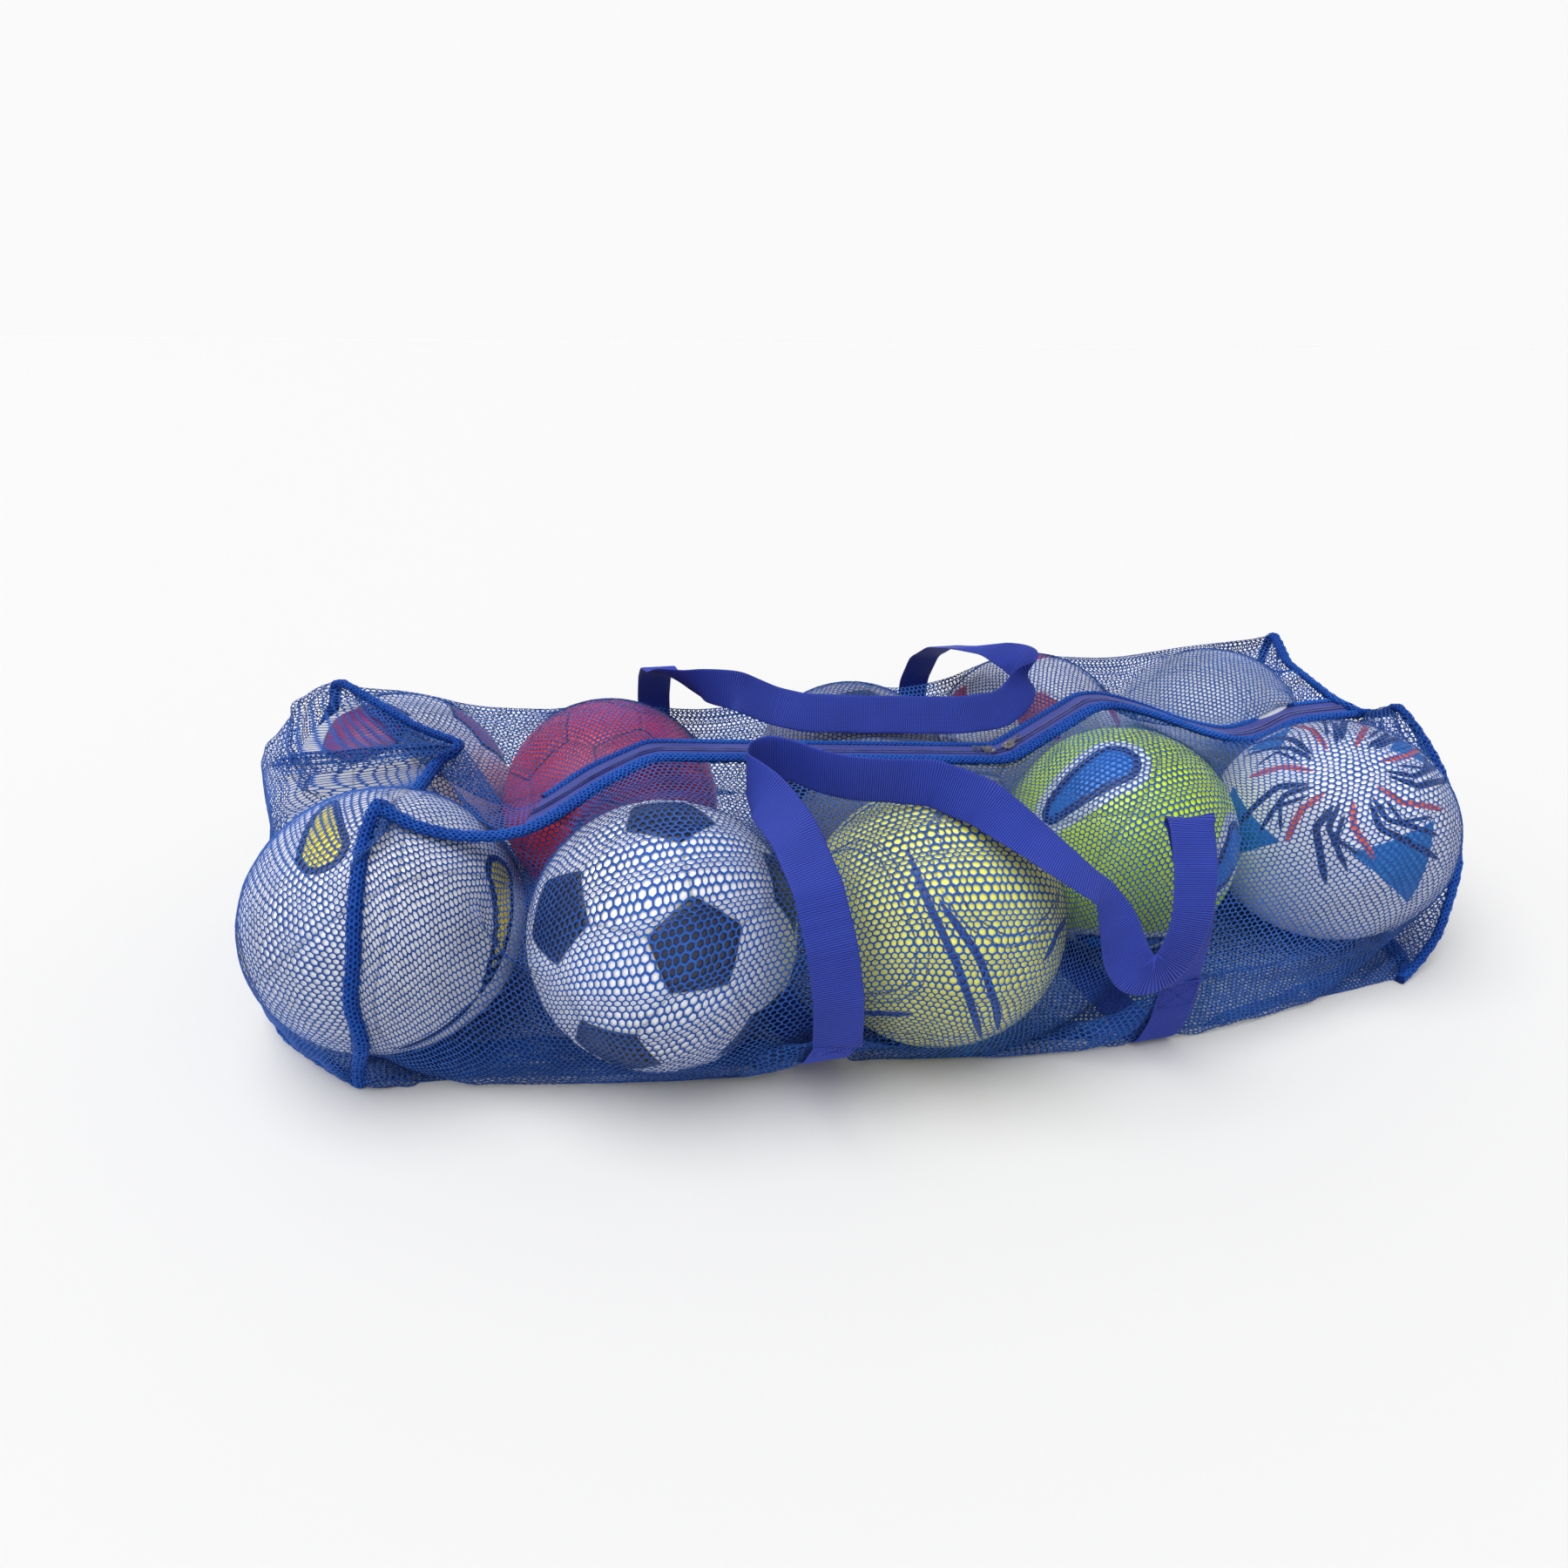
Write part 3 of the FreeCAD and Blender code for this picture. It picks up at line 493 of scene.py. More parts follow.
def hexagons(width, length, pitch, row, hole):
    """Flat net: places of its points, which are strand middles, and its six faces a hole."""
    columns = max(int(round(width / pitch)), 1)
    rows = max(int(round(length / row)), 1)
    pitch = width / columns
    row = length / rows
    r, c = np.meshgrid(np.arange(rows + 1), np.arange(columns + 1), indexing="ij")
    middle = np.stack([((c + 0.5 * (r % 2)) * pitch).ravel(), (r * row).ravel()], 1)
    middle = middle[middle[:, 0] < width + 0.01 * pitch]
    corner = np.array([(0, 2), (1, 1), (1, -1), (0, -2), (-1, -1), (-1, 1)], float)
    cell = np.array([pitch / 2, row / 3])
    offset = corner * cell
    outer = middle[:, None, :] + offset
    inner = middle[:, None, :] + offset * hole
    limit = np.array([width, length])
    keys = np.round(outer / cell).astype(int).reshape(-1, 2)
    _, first, inverse = np.unique(keys, axis=0, return_index=True, return_inverse=True)
    inverse = inverse.reshape(-1, 6)
    outer_places = np.clip(outer.reshape(-1, 2)[first], 0, limit)
    inner_places = np.clip(inner.reshape(-1, 2), 0, limit)
    count = len(outer_places)
    inner_ids = count + np.arange(len(inner_places)).reshape(-1, 6)
    quads = []
    for side in range(6):
        after = (side + 1) % 6
        quads.append(np.stack([inverse[:, side], inverse[:, after],
                               inner_ids[:, after], inner_ids[:, side]], 1))
    quads = np.stack(quads, 1)
    places = np.concatenate([outer_places, inner_places])
    crest = np.concatenate([np.ones(count), np.zeros(len(inner_places))])
    return places, crest, quads, middle


def keep_faces(points, faces):
    """Only the points that these faces use, with the faces renumbered."""
    used, renumbered = np.unique(faces, return_inverse=True)
    return points[used], renumbered.reshape(faces.shape)


SMALLEST_FACE = 2e-8


def real_faces(points, faces):
    """Leaves out faces that trimming has squeezed to nothing."""
    a, b, c, d = (points[faces[:, n]] for n in range(4))
    area = np.linalg.norm(np.cross(c - a, d - b), axis=1) / 2
    return faces[area > SMALLEST_FACE]


def net_pieces(name, grid, flat, turn=1, splits=1, nodes=()):
    """The net on a draped panel, in several pieces side by side."""
    width, length = flat
    hole = NET_HOLES.get(name, NET_HOLE)
    places, crest, quads, middle = hexagons(width, length, NET_PITCH, NET_ROW, hole)
    a = places[:, 0] / width * (grid.shape[0] - 1)
    b = places[:, 1] / length * (grid.shape[1] - 1)
    normals = surface_normals(grid, a, b, turn)
    points = on_surface(grid, a, b)
    random = np.random.default_rng(len(name))
    points += random.normal(0, NET_SCATTER, points.shape)
    push_off_balls(points, BALL_RADIUS + NET_OFF - NET_GIVE)
    points += normals * (crest[:, None] * STRAND_RISE - STRAND_SINK)
    push_off_balls(points, BALL_RADIUS + BALL_GAP)
    points[:, 2] = np.maximum(points[:, 2], NET_LOWEST + NET_LOWEST * crest)
    for part in range(splits):
        at = middle[:, 0]
        mine = (at >= width * part / splits) & (at < width * (part + 1) / splits)
        if part == splits - 1:
            mine |= at >= width
        faces = real_faces(points, quads[mine].reshape(-1, 4))
        label = name if splits == 1 else "%s_%d" % (name, part + 1)
        piece = mesh_piece(label, *keep_faces(points, faces), net_yarn)
        finish_piece(piece, "bag", "net", *nodes)


def square_to(vectors, course):
    """The part of each vector that is square to the course there, as a unit."""
    return unit(vectors - course * (vectors * course).sum(1, keepdims=True))


def smooth_line(line, passes):
    line = line.copy()
    for _ in range(passes):
        line[1:-1] = (line[:-2] + 2 * line[1:-1] + line[2:]) / 4
    return line


def rolled_net(name, line, up, width, thick, node):
    """Net folded on itself: a soft flat roll with a closer net on its surface."""
    length = line_length(line)
    around = math.pi * (width + thick - math.sqrt(width * thick) / 1.5)
    places, crest, quads, _ = hexagons(length, around, *ROLL_NET)
    station = places[:, 0] / length * (len(line) - 1)
    centre = on_surface(np.stack([line, line + 1e-6], 1), station, np.zeros(len(station)))
    course = unit(np.gradient(line, axis=0))
    rise = square_to(up, course)
    side = np.cross(course, rise)
    turn = 2 * math.pi * places[:, 1] / around
    lumps = 1 + 0.10 * np.sin(station * 1.9) + 0.07 * np.sin(station * 4.3 + 1)
    swell = ROLL_YARN[0] + crest * ROLL_YARN[1]
    at = np.clip(station, 0, len(line) - 1)
    wide = (width / 2 * lumps + swell) * np.cos(turn)
    high = (thick / 2 * lumps + swell) * np.sin(turn)
    points = centre + sampled(side, at) * wide[:, None] + sampled(rise, at) * high[:, None]
    faces = real_faces(points, quads.reshape(-1, 4))
    points[:, 2] = np.maximum(points[:, 2], ROLL_LOWEST)
    roll = mesh_piece(name, *keep_faces(points, faces), roll_yarn)
    # The core is the inner net, in the same yarn painted darker as the shade inside the roll.
    core = tube(name + "_core", line, rise, side, width * ROLL_CORE, thick * ROLL_CORE, shaded_core_yarn)
    finish_piece(roll, "bag", "rolled_net", node)
    finish_piece(core, "bag", "rolled_net")


def ring_quads(count, sides):
    """Numbers of the points of a row of rings, and the faces between the rings."""
    ids = np.arange(count * sides).reshape(count, sides)
    after = np.roll(ids, -1, 1)
    return ids, np.stack([ids[:-1], after[:-1], after[1:], ids[1:]], -1).reshape(-1, 4)


def tube(name, line, rise, side, wide, high, material, sides=10):
    """A closed tube with an oval section."""
    turn = np.linspace(0, 2 * math.pi, sides, endpoint=False)
    ring = (line[:, None, :] + side[:, None, :] * (wide * np.cos(turn))[None, :, None]
            + rise[:, None, :] * (high * np.sin(turn))[None, :, None])
    ring[..., 2] = np.maximum(ring[..., 2], CORE_LOWEST)
    ids, faces = ring_quads(len(line), sides)
    points = np.concatenate([ring.reshape(-1, 3), line[:1], line[-1:]])
    piece = mesh_piece(name, points, faces, material)
    work = bmesh.new()
    work.from_mesh(piece.data)
    work.verts.ensure_lookup_table()
    for centre, end, flip in ((ids.size, ids[0], True), (ids.size + 1, ids[-1], False)):
        for first, second in zip(end, np.roll(end, -1)):
            corner = [work.verts[number] for number in (centre, first, second)]
            work.faces.new(corner[::-1] if flip else corner).smooth = True
    work.to_mesh(piece.data)
    work.free()
    return piece


# ---------------------------------------------------------------- webbing


def even_line(stations, step, soften):
    """Resamples centre and width stations at an even step, with rounded corners."""
    centres = np.array([centre for centre, _ in stations], float)
    widths = unit(np.array([width for _, width in stations], float))
    run = run_along(centres)
    fine = np.linspace(0, run[-1], int(run[-1] / FINE) + 1)
    line = softened(sampled(centres, fine, run), soften)
    width = unit(softened(sampled(widths, fine, run), soften))
    both = along(np.concatenate([line, width], 1), int(line_length(line) / step) + 1)
    return both[:, :3], unit(both[:, 3:])


# Section of the webbing: places across it, and its thickness there over the usual one.
SECTION = ((-1, 0.25), (-0.96, 0.85), (-0.86, 1.05), (-0.6, 0.95), (-0.2, 0.95),
           (0.2, 0.95), (0.6, 0.95), (0.86, 1.05), (0.96, 0.85), (1.0, 0.25))


def webbing(name, stations, soften):
    """A ribbed flat strap with rounded selvedges, closed at both ends."""
    line, across = even_line(stations, RIB_PITCH / 4, soften)
    course = unit(np.gradient(line, axis=0))
    across = square_to(across, course)
    face = np.cross(course, across)
    run = run_along(line)
    rib = RIB_DEPTH * np.sin(2 * math.pi * run / RIB_PITCH)
    ring = []
    for way, order in ((1, SECTION), (-1, SECTION[::-1])):
        for u, t in order:
            high = way * WEBBING_THICK / 2 * t + rib * min(1.0, t)
            ring.append(line + across * (u * WEBBING_WIDTH / 2) + face * high[:, None])
    ring = np.stack(ring, 1)
    count, sides = ring.shape[:2]
    ids, faces = ring_quads(count, sides)
    caps = []
    for end, flip in ((ids[0], True), (ids[-1], False)):
        for n in range(sides // 2 - 1):
            quad = [end[n], end[n + 1], end[sides - 2 - n], end[sides - 1 - n]]
            caps.append(quad[::-1] if flip else quad)
    faces = np.concatenate([faces[:, ::-1], np.array(caps)[:, ::-1]])
    piece = mesh_piece(name + "_strap", ring.reshape(-1, 3), faces, web)
    u = np.array([place for place, _ in SECTION + SECTION[::-1]]) * WEBBING_WIDTH / 2 * 100
    add_uv(piece, np.stack(np.broadcast_arrays(u, run[:, None] * 100), -1).reshape(-1, 2))
    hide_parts(name)
    return piece


def add_uv(piece, per_point):
    """A UV map in centimetres, one place a point."""
    layer = piece.data.uv_layers.new(name="cloth")
    corner = np.zeros(len(piece.data.loops), np.int32)
    piece.data.loops.foreach_get("vertex_index", corner)
    layer.data.foreach_set("uv", per_point[corner].astype(np.float32).ravel())


# ---------------------------------------------------------------- materials


def grey(level):
    return (level, level, level)


class Nodes:
    """Short ways to add nodes to a tree."""

    def __init__(self, tree):
        self.tree = tree

    def node(self, kind, links=(), values=(), **settings):
        """A new node, with its settings, and its inputs linked or set by name."""
        node = self.tree.nodes.new(kind)
        for key, value in settings.items():
            setattr(node, key, value)
        for name, value in dict(values).items():
            node.inputs[name].default_value = value
        for name, source in dict(links).items():
            self.link(source, node.inputs[name])
        return node

    def link(self, source, target):
        self.tree.links.new(source, target)

    def give(self, socket, value):
        """Links a socket to another, or sets it to a number or a colour."""
        if isinstance(value, bpy.types.NodeSocket):
            self.link(value, socket)
        else:
            socket.default_value = (*value, 1) if isinstance(value, tuple) else value

    def ramp(self, value, stops):
        ramp = self.node("ShaderNodeValToRGB", {"Fac": value})
        elements = ramp.color_ramp.elements
        for element, (at, colour) in zip(elements, stops):
            element.position = at
            element.color = (*colour, 1)
        return ramp.outputs["Color"]

    def mix(self, factor, first, second):
        mix = self.node("ShaderNodeMix", data_type="RGBA")
        for name, value in (("Factor", factor), ("A", first), ("B", second)):
            self.give(mix.inputs[name], value)
        return [output for output in mix.outputs if output.type == "RGBA"][0]

    def math(self, operation, first, second):
        node = self.node("ShaderNodeMath", operation=operation)
        self.give(node.inputs[0], first)
        self.give(node.inputs[1], second)
        return node.outputs[0]

    def weighed(self, first, second, share):
        """Two values added, the first with that share and the second with the rest."""
        return self.math("ADD", self.math("MULTIPLY", first, share),
                         self.math("MULTIPLY", second, 1 - share))


class Recipe(Nodes):
    """A new node material."""

    def __init__(self, name, roughness, **sockets):
        self.material = bpy.data.materials.new(name)
        self.material.use_nodes = True
        super().__init__(self.material.node_tree)
        self.shader = self.tree.nodes["Principled BSDF"]
        self.shader.inputs["Roughness"].default_value = roughness
        for socket, value in sockets.items():
            self.shader.inputs[socket.replace("_", " ")].default_value = value

    def place(self, scale=(1, 1, 1)):
        """Where a point is on its piece."""
        place = self.node("ShaderNodeTexCoord").outputs["Object"]
        return self.node("ShaderNodeMapping", {"Vector": place}, {"Scale": scale}).outputs["Vector"]

    def cloth_place(self):
        """Where a point is on its strap, in centimetres."""
        return self.node("ShaderNodeUVMap", uv_map="cloth").outputs["UV"]

    def noise(self, vector, scale, detail=3.0):
        values = {"Scale": scale, "Detail": detail}
        return self.node("ShaderNodeTexNoise", {"Vector": vector}, values).outputs["Fac"]

    def wave(self, vector, scale, direction, phase=0.0):
        values = {"Phase Offset": phase, "Scale": scale, "Distortion": 0.0}
        return self.node("ShaderNodeTexWave", {"Vector": vector}, values,
                         bands_direction=direction).outputs["Fac"]

    def over(self, field, threshold, soft):
        """0 below a threshold of a field on the mesh and 1 above it, with a soft edge."""
        value = self.node("ShaderNodeAttribute", attribute_name=field).outputs["Fac"]
        values = {"From Min": threshold - soft, "From Max": threshold + soft}
        return self.node("ShaderNodeMapRange", {"Value": value}, values).outputs["Result"]

    def colour(self, value, *stops):
        """Base colour: a colour socket, or a value read off between coloured stops."""
        self.link(self.ramp(value, stops) if stops else value, self.shader.inputs["Base Color"])

    def roughness(self, value, *stops):
        stops = [(at, grey(level)) for at, level in stops]
        self.link(self.ramp(value, stops), self.shader.inputs["Roughness"])

    def bump(self, height, strength, distance):
        values = {"Strength": strength, "Distance": distance}
        bump = self.node("ShaderNodeBump", {"Height": height}, values)
        self.link(bump.outputs["Normal"], self.shader.inputs["Normal"])


NET_DARK = (0.008, 0.040, 0.18)
NET_LIGHT = (0.026, 0.106, 0.43)
ROLL_DARK = (0.003, 0.035, 0.25)
ROLL_LIGHT = (0.014, 0.10, 0.46)
# On the webbing, WEB_DARK is painted shade between the ribs and WEB_LIGHT painted light on their
# tops; the thread uses them as random tone.
WEB_DARK = (0.008, 0.014, 0.10)
WEB_LIGHT = (0.031, 0.062, 0.46)
TAPE_DARK = (0.018, 0.026, 0.17)
TAPE_LIGHT = (0.040, 0.055, 0.30)
WAVE_SCALE = math.pi / 10       # wave texture scale that makes one band a unit
END_PITCH = 0.0011              # warp ends of the webbing
PRINT_EDGE = 0.00035            # softness of a print's edge


def yarn_material(name, dark, light, roughness=0.6):
    """Knitted polyester yarn: fine twist on the strand and a slow change of shade."""
    recipe = Recipe(name, roughness, Sheen_Weight=0.04, Sheen_Roughness=0.4,
                    Specular_IOR_Level=0.12)
    place = recipe.place()
    fibre = recipe.noise(place, 900.0, 2.0)
    tone = recipe.weighed(recipe.noise(place, 9.0), fibre, 0.6)
    recipe.colour(tone, (0.36, dark), (0.62, light))
    recipe.roughness(fibre, (0.3, roughness - 0.1), (0.7, roughness + 0.1))
    recipe.bump(recipe.noise(place, 1500.0, 2.0), 0.5, 0.0003)
    return recipe.material


def webbing_material():
    """Ribbed webbing: warp ends side by side, with painted shade between the ribs and the ends and
    painted light on their tops.
    """
    recipe = Recipe("webbing", 0.55, Sheen_Weight=0.03, Sheen_Roughness=0.35,
                    Specular_IOR_Level=0.2)
    place = recipe.cloth_place()
    ribs = recipe.wave(place, WAVE_SCALE / (RIB_PITCH * 100), "Y", math.pi / 2)
    ends = recipe.wave(place, WAVE_SCALE / (END_PITCH * 100), "X")
    half_ends = recipe.math("MULTIPLY", ends, 0.5)
    weave = recipe.math("MULTIPLY", ribs, recipe.math("ADD", half_ends, 0.5))
    tone = recipe.weighed(weave, recipe.noise(recipe.place(), 14.0), 0.7)
    # Painted shade and light: the colour follows the weave, dark in its hollows and light on its
    # tops, mixed with random tone.
    recipe.colour(tone, (0.15, WEB_DARK), (0.65, WEB_LIGHT))
    recipe.roughness(weave, (0.0, 0.72), (1.0, 0.48))
    recipe.bump(weave, 0.6, 0.0004)
    return recipe.material


def tape_material():
    recipe = Recipe("zip_tape", 0.6, Sheen_Weight=0.05, Sheen_Roughness=0.4)
    place = recipe.place()
    twill = recipe.wave(place, 420.0, "DIAGONAL")
    tone = recipe.weighed(twill, recipe.noise(place, 20.0), 0.4)
    recipe.colour(tone, (0.25, TAPE_DARK), (0.75, TAPE_LIGHT))
    recipe.bump(twill, 0.4, 0.0002)
    return recipe.material


def coil_material():
    recipe = Recipe("zip_coil", 0.38)
    place = recipe.place()
    recipe.colour(recipe.noise(place, 60.0), (0.3, (0.03, 0.04, 0.20)), (0.7, (0.06, 0.08, 0.30)))
    recipe.bump(recipe.noise(place, 700.0), 0.2, 0.0002)
    return recipe.material


def metal_material():
    """Plated zinc: fine brushing, with duller and yellower patches."""
    recipe = Recipe("zip_metal", 0.3, Metallic=1.0)
    brushed = recipe.noise(recipe.place((1.0, 6.0, 1.0)), 900.0, 4.0)
    stain = recipe.noise(recipe.place(), 260.0)
    recipe.colour(stain, (0.35, (0.42, 0.37, 0.29)), (0.6, (0.78, 0.76, 0.71)))
    recipe.roughness(brushed, (0.3, 0.22), (0.7, 0.42))
    recipe.bump(brushed, 0.25, 0.0001)
    return recipe.material


def cover_material(name, base, layers):
    """A ball's cover: grained synthetic leather with printed layers, each (field, from, colour)."""
    recipe = Recipe(name, 0.42, Coat_Weight=0.15, Coat_Roughness=0.3)
    place = recipe.place()
    soil = recipe.noise(place, 11.0, 4.0)
    colour = recipe.ramp(soil, [(0.35, tuple(0.86 * part for part in base)), (0.6, base)])
    for field, start, ink in layers:
        colour = recipe.mix(recipe.over(field, start, PRINT_EDGE), colour, ink)
    seam = recipe.over("seam", -0.0009, 0.0006)
    recipe.colour(recipe.mix(recipe.math("MULTIPLY", seam, 0.55), colour, (0.05, 0.05, 0.07)))
    grain = recipe.node("ShaderNodeTexVoronoi", {"Vector": place}, {"Scale": 900.0})
    recipe.bump(grain.outputs["Distance"], 0.25, 0.0003)
    recipe.roughness(soil, (0.3, 0.50), (0.7, 0.37))
    return recipe.material


# ---------------------------------------------------------------- balls

FACING = (-0.27, -0.77, 0.56)     # the side of each ball that carries its main print


def ico_points():
    work = bmesh.new()
    bmesh.ops.create_icosphere(work, subdivisions=7, radius=1.0)
    points = np.array([vert.co[:] for vert in work.verts])
    faces = np.array([[vert.index for vert in face.verts] for face in work.faces])
    work.free()
    return unit(points), faces


OUTSIDE = -1.0                    # a field's value far from any print
PRINT_RIM = 0.995                 # the rim of a ball as it is seen, where prints stop
STROKE_POINTS = 60
PENTAGON_REACH = 2.32744          # middle of a 32-panel solid of edge 1 to its pentagons
HEXAGON_REACH = 2.26728           # and to its hexagons
SEAM_SWING = 0.22                 # how far a wavy seam swings, over the radius
PANEL_SCALE = BALL_RADIUS / 0.304     # from a difference of reaches to a distance on the ball


def facing_axes(centre):
    """Right, up and towards, for the side of a ball that faces FACING."""
    towards = unit(np.array(FACING) - centre)
    right = unit(np.cross((0, 0, 1), towards))
    return np.array([right, np.cross(towards, right), towards])


def print_place(across, up):
    """A unit direction, in facing axes, from how far across and up it is seen."""
    flat = math.hypot(across, up)
    if flat > PRINT_RIM:
        across, up = across / flat * PRINT_RIM, up / flat * PRINT_RIM
    return np.array([across, up, math.sqrt(1 - across ** 2 - up ** 2)])


def solid_directions():
    """Face directions of a 32-panel ball: 12 pentagons and 20 hexagons."""
    golden = (1 + math.sqrt(5)) / 2
    five = []
    for a in (-1, 1):
        for b in (-golden, golden):
            five += [(0, a, b), (a, b, 0), (b, 0, a)]
    five = unit(np.array(five, float))
    six = []
    for i in range(12):
        for j in range(i + 1, 12):
            for k in range(j + 1, 12):
                if min(five[i] @ five[j], five[i] @ five[k], five[j] @ five[k]) > 0.4:
                    six.append(five[i] + five[j] + five[k])
    return five, unit(np.array(six))


def turn_to(directions, main, beside):
    """Rotates directions so that the first lies at main and its neighbour towards beside."""
    first = directions[0]
    others = directions @ first
    second = directions[np.argmin(abs(others - 1 / math.sqrt(5)))]

    def basis(a, b):
        a = unit(np.asarray(a, float))
        b = unit(b - a * (a @ b))
        return np.array([a, b, np.cross(a, b)])

    return basis(main, beside).T @ basis(first, second)


def panel_fields(points, main, beside):
    """Signed distances of a 32-panel ball: to its nearest seam, and into its pentagons."""
    five, six = solid_directions()
    turn = turn_to(five, print_place(*main), print_place(*beside))
    five_score = points @ (five @ turn.T).T / PENTAGON_REACH
    six_score = points @ (six @ turn.T).T / HEXAGON_REACH
    top = np.sort(np.concatenate([five_score, six_score], 1), axis=1)
    seam = (top[:, -2] - top[:, -1]) * PANEL_SCALE
    pentagon = (five_score.max(1) - six_score.max(1)) * PANEL_SCALE
    return seam, pentagon, six_score


def wavy_seams(points):
    """Signed distance to three wavy seams round the ball."""
    best = np.full(len(points), OUTSIDE)
    for axis in range(3):
        turn = np.arctan2(points[:, (axis + 2) % 3], points[:, (axis + 1) % 3])
        gap = abs(points[:, axis] - SEAM_SWING * np.sin(2 * turn + axis)) * BALL_RADIUS
        best = np.maximum(best, -gap)
    return best


def no_seams(points):
    """A ball with bonded panels has no grooves."""
    return np.full(len(points), OUTSIDE)


def depth_in(points, middles, sizes):
    """How far inside a row of discs, drawn on the ball, each point is."""
    best = np.full(len(points), OUTSIDE)
    for middle, size in zip(middles, sizes):
        gap = np.arccos(np.clip(points @ middle, -1, 1))
        best = np.maximum(best, (size - gap) * BALL_RADIUS)
    return best


def drop(points, head, tail, wide, narrow):
    """How far inside a teardrop each point is, from a wide head to a narrow tail."""
    head = print_place(*head)
    tail = print_place(*tail)
    steps = np.linspace(0, 1, 9)
    middles = [unit(head * (1 - step) + tail * step) for step in steps]
    return depth_in(points, middles, [wide * (1 - step) ** 0.8 + narrow * step for step in steps])


def stroke(points, line, wide):
    """How far inside a drawn line of that half width each point is."""
    places = np.array([print_place(*place) for place in line])
    middles = unit(smooth_line(along(places, STROKE_POINTS), 6))
    last = STROKE_POINTS - 1
    sizes = [wide * min(1.0, 0.35 + 4 * min(step, last - step) / last)
             for step in range(STROKE_POINTS)]
    return depth_in(points, middles, sizes)


def triangle(points, middle, size, turn):
    """How far inside a rounded triangle each point is."""
    centre = print_place(*middle)
    right = unit(np.cross((0, 1, 0), centre))
    up = np.cross(centre, right)
    x = points @ right
    y = points @ up
    depth = np.full(len(points), 1.0)
    for corner in range(3):
        angle = turn + corner * 2 * math.pi / 3
        depth = np.minimum(depth, size - (x * math.cos(angle) + y * math.sin(angle)))
    return np.where(points @ centre > 0, depth, OUTSIDE) * BALL_RADIUS


def together(shape, points, *marks):
    """Several marks of one kind as one field."""
    return np.max([shape(points, *mark) for mark in marks], axis=0)


NAVY = (0.010, 0.018, 0.085)
WHITE = (0.90, 0.90, 0.92)


def teardrop_ball(points):
    mark = together(drop, points, ((0.80, 0.12), (0.50, -0.66), 0.17, 0.04),
                    ((-0.32, 0.56), (-0.22, 0.92), 0.19, 0.05),
                    ((-0.985, 0.05), (-0.90, -0.35), 0.16, 0.03))
    sweep = stroke(points, [(0.46, -0.70), (0.20, -0.86), (-0.16, -0.93)], 0.035)
    return wavy_seams(points), {"mark": mark, "line": sweep}, WHITE, [
        ("line", 0.0, NAVY), ("mark", 0.0, NAVY), ("mark", 0.0062, (0.90, 0.72, 0.01))]


def classic_ball(points):
    seam, pentagon, _ = panel_fields(points, (0.22, -0.12), (0.06, 0.88))
    return seam, {"mark": pentagon}, WHITE, [("mark", 0.0, (0.012, 0.016, 0.045))]


def lined_ball(points):
    thick = [([(-0.22, 0.44), (-0.07, 0.13), (0.20, -0.32), (0.43, -0.84)], 0.030),
             ([(0.03, 0.10), (0.33, -0.24), (0.50, -0.60), (0.54, -0.77)], 0.030),
             ([(-0.58, -0.76), (-0.30, -0.74), (-0.07, -0.70)], 0.028),
             ([(0.96, 0.10), (0.88, -0.02), (0.80, -0.22)], 0.034),
             ([(-0.80, 0.48), (-0.48, 0.80), (-0.14, 0.90)], 0.020)]
    thin = [[(-0.80, 0.34), (-0.56, 0.44), (-0.36, 0.36), (-0.16, 0.05), (-0.03, -0.22),
             (-0.04, -0.48), (-0.20, -0.60), (-0.60, -0.64)],
            [(0.02, 0.78), (-0.08, 0.62), (0.06, 0.20), (0.26, -0.03), (0.52, -0.14),
             (0.76, 0.0), (0.88, 0.28)],
            [(-0.50, -0.90), (0.0, -0.86), (0.5, -0.80)]]
    mark = together(stroke, points, *thick)
    curve = together(stroke, points, *[(line, 0.052) for line in thin])
    double = np.minimum(curve, 0.0022 - curve)
    return no_seams(points), {"mark": mark, "line": double}, (0.88, 0.86, 0.16), [
        ("line", 0.0002, (0.05, 0.08, 0.16)), ("mark", 0.0, (0.015, 0.035, 0.20))]


def patched_ball(points):
    mark = together(drop, points, ((-0.13, 0.60), (-0.53, 0.10), 0.22, 0.10),
                    ((0.93, 0.12), (0.80, -0.22), 0.22, 0.12),
                    ((0.05, -0.93), (0.45, -0.80), 0.22, 0.10),
                    ((-0.97, -0.15), (-0.85, -0.45), 0.2, 0.1))
    return wavy_seams(points), {"mark": mark}, (0.62, 0.86, 0.005), [
        ("mark", -0.009, (0.66, 0.72, 0.70)), ("mark", 0.0, (0.008, 0.015, 0.10)),
        ("mark", 0.0075, (0.01, 0.17, 0.62))]


def burst_ball(points):
    blue = together(triangle, points, ((0.60, -0.10), 0.21, 0.1), ((-0.66, -0.20), 0.21, 1.0),
                    ((0.42, 0.84), 0.14, 0.2), ((-0.62, 0.66), 0.13, 0.7))

    def ray(bends, wide):
        return [(0.02 + reach * math.cos(turn), 0.50 + reach * math.sin(turn))
                for reach, turn in bends], wide

    navy = []
    red = []
    for number in range(7):
        angle = 0.15 + number * 2 * math.pi / 7
        for twist, near, far, wide in ((0.0, 0.30, 0.95, 0.030), (0.16, 0.26, 0.82, 0.024),
                                       (0.30, 0.34, 0.70, 0.016)):
            navy.append(ray([(near, angle + twist), (near + 0.22, angle + twist - 0.10),
                             (far, angle + twist + 0.18)], wide))
        red.append(ray([(0.24, angle + 0.50), (0.46, angle + 0.44), (0.74, angle + 0.60)], 0.026))
    fields = {"mark": blue, "line": together(stroke, points, *navy),
              "dash": together(stroke, points, *red)}
    return no_seams(points), fields, WHITE, [
        ("mark", 0.0, (0.01, 0.17, 0.50)), ("dash", 0.0, (0.72, 0.10, 0.05)), ("line", 0.0, NAVY)]


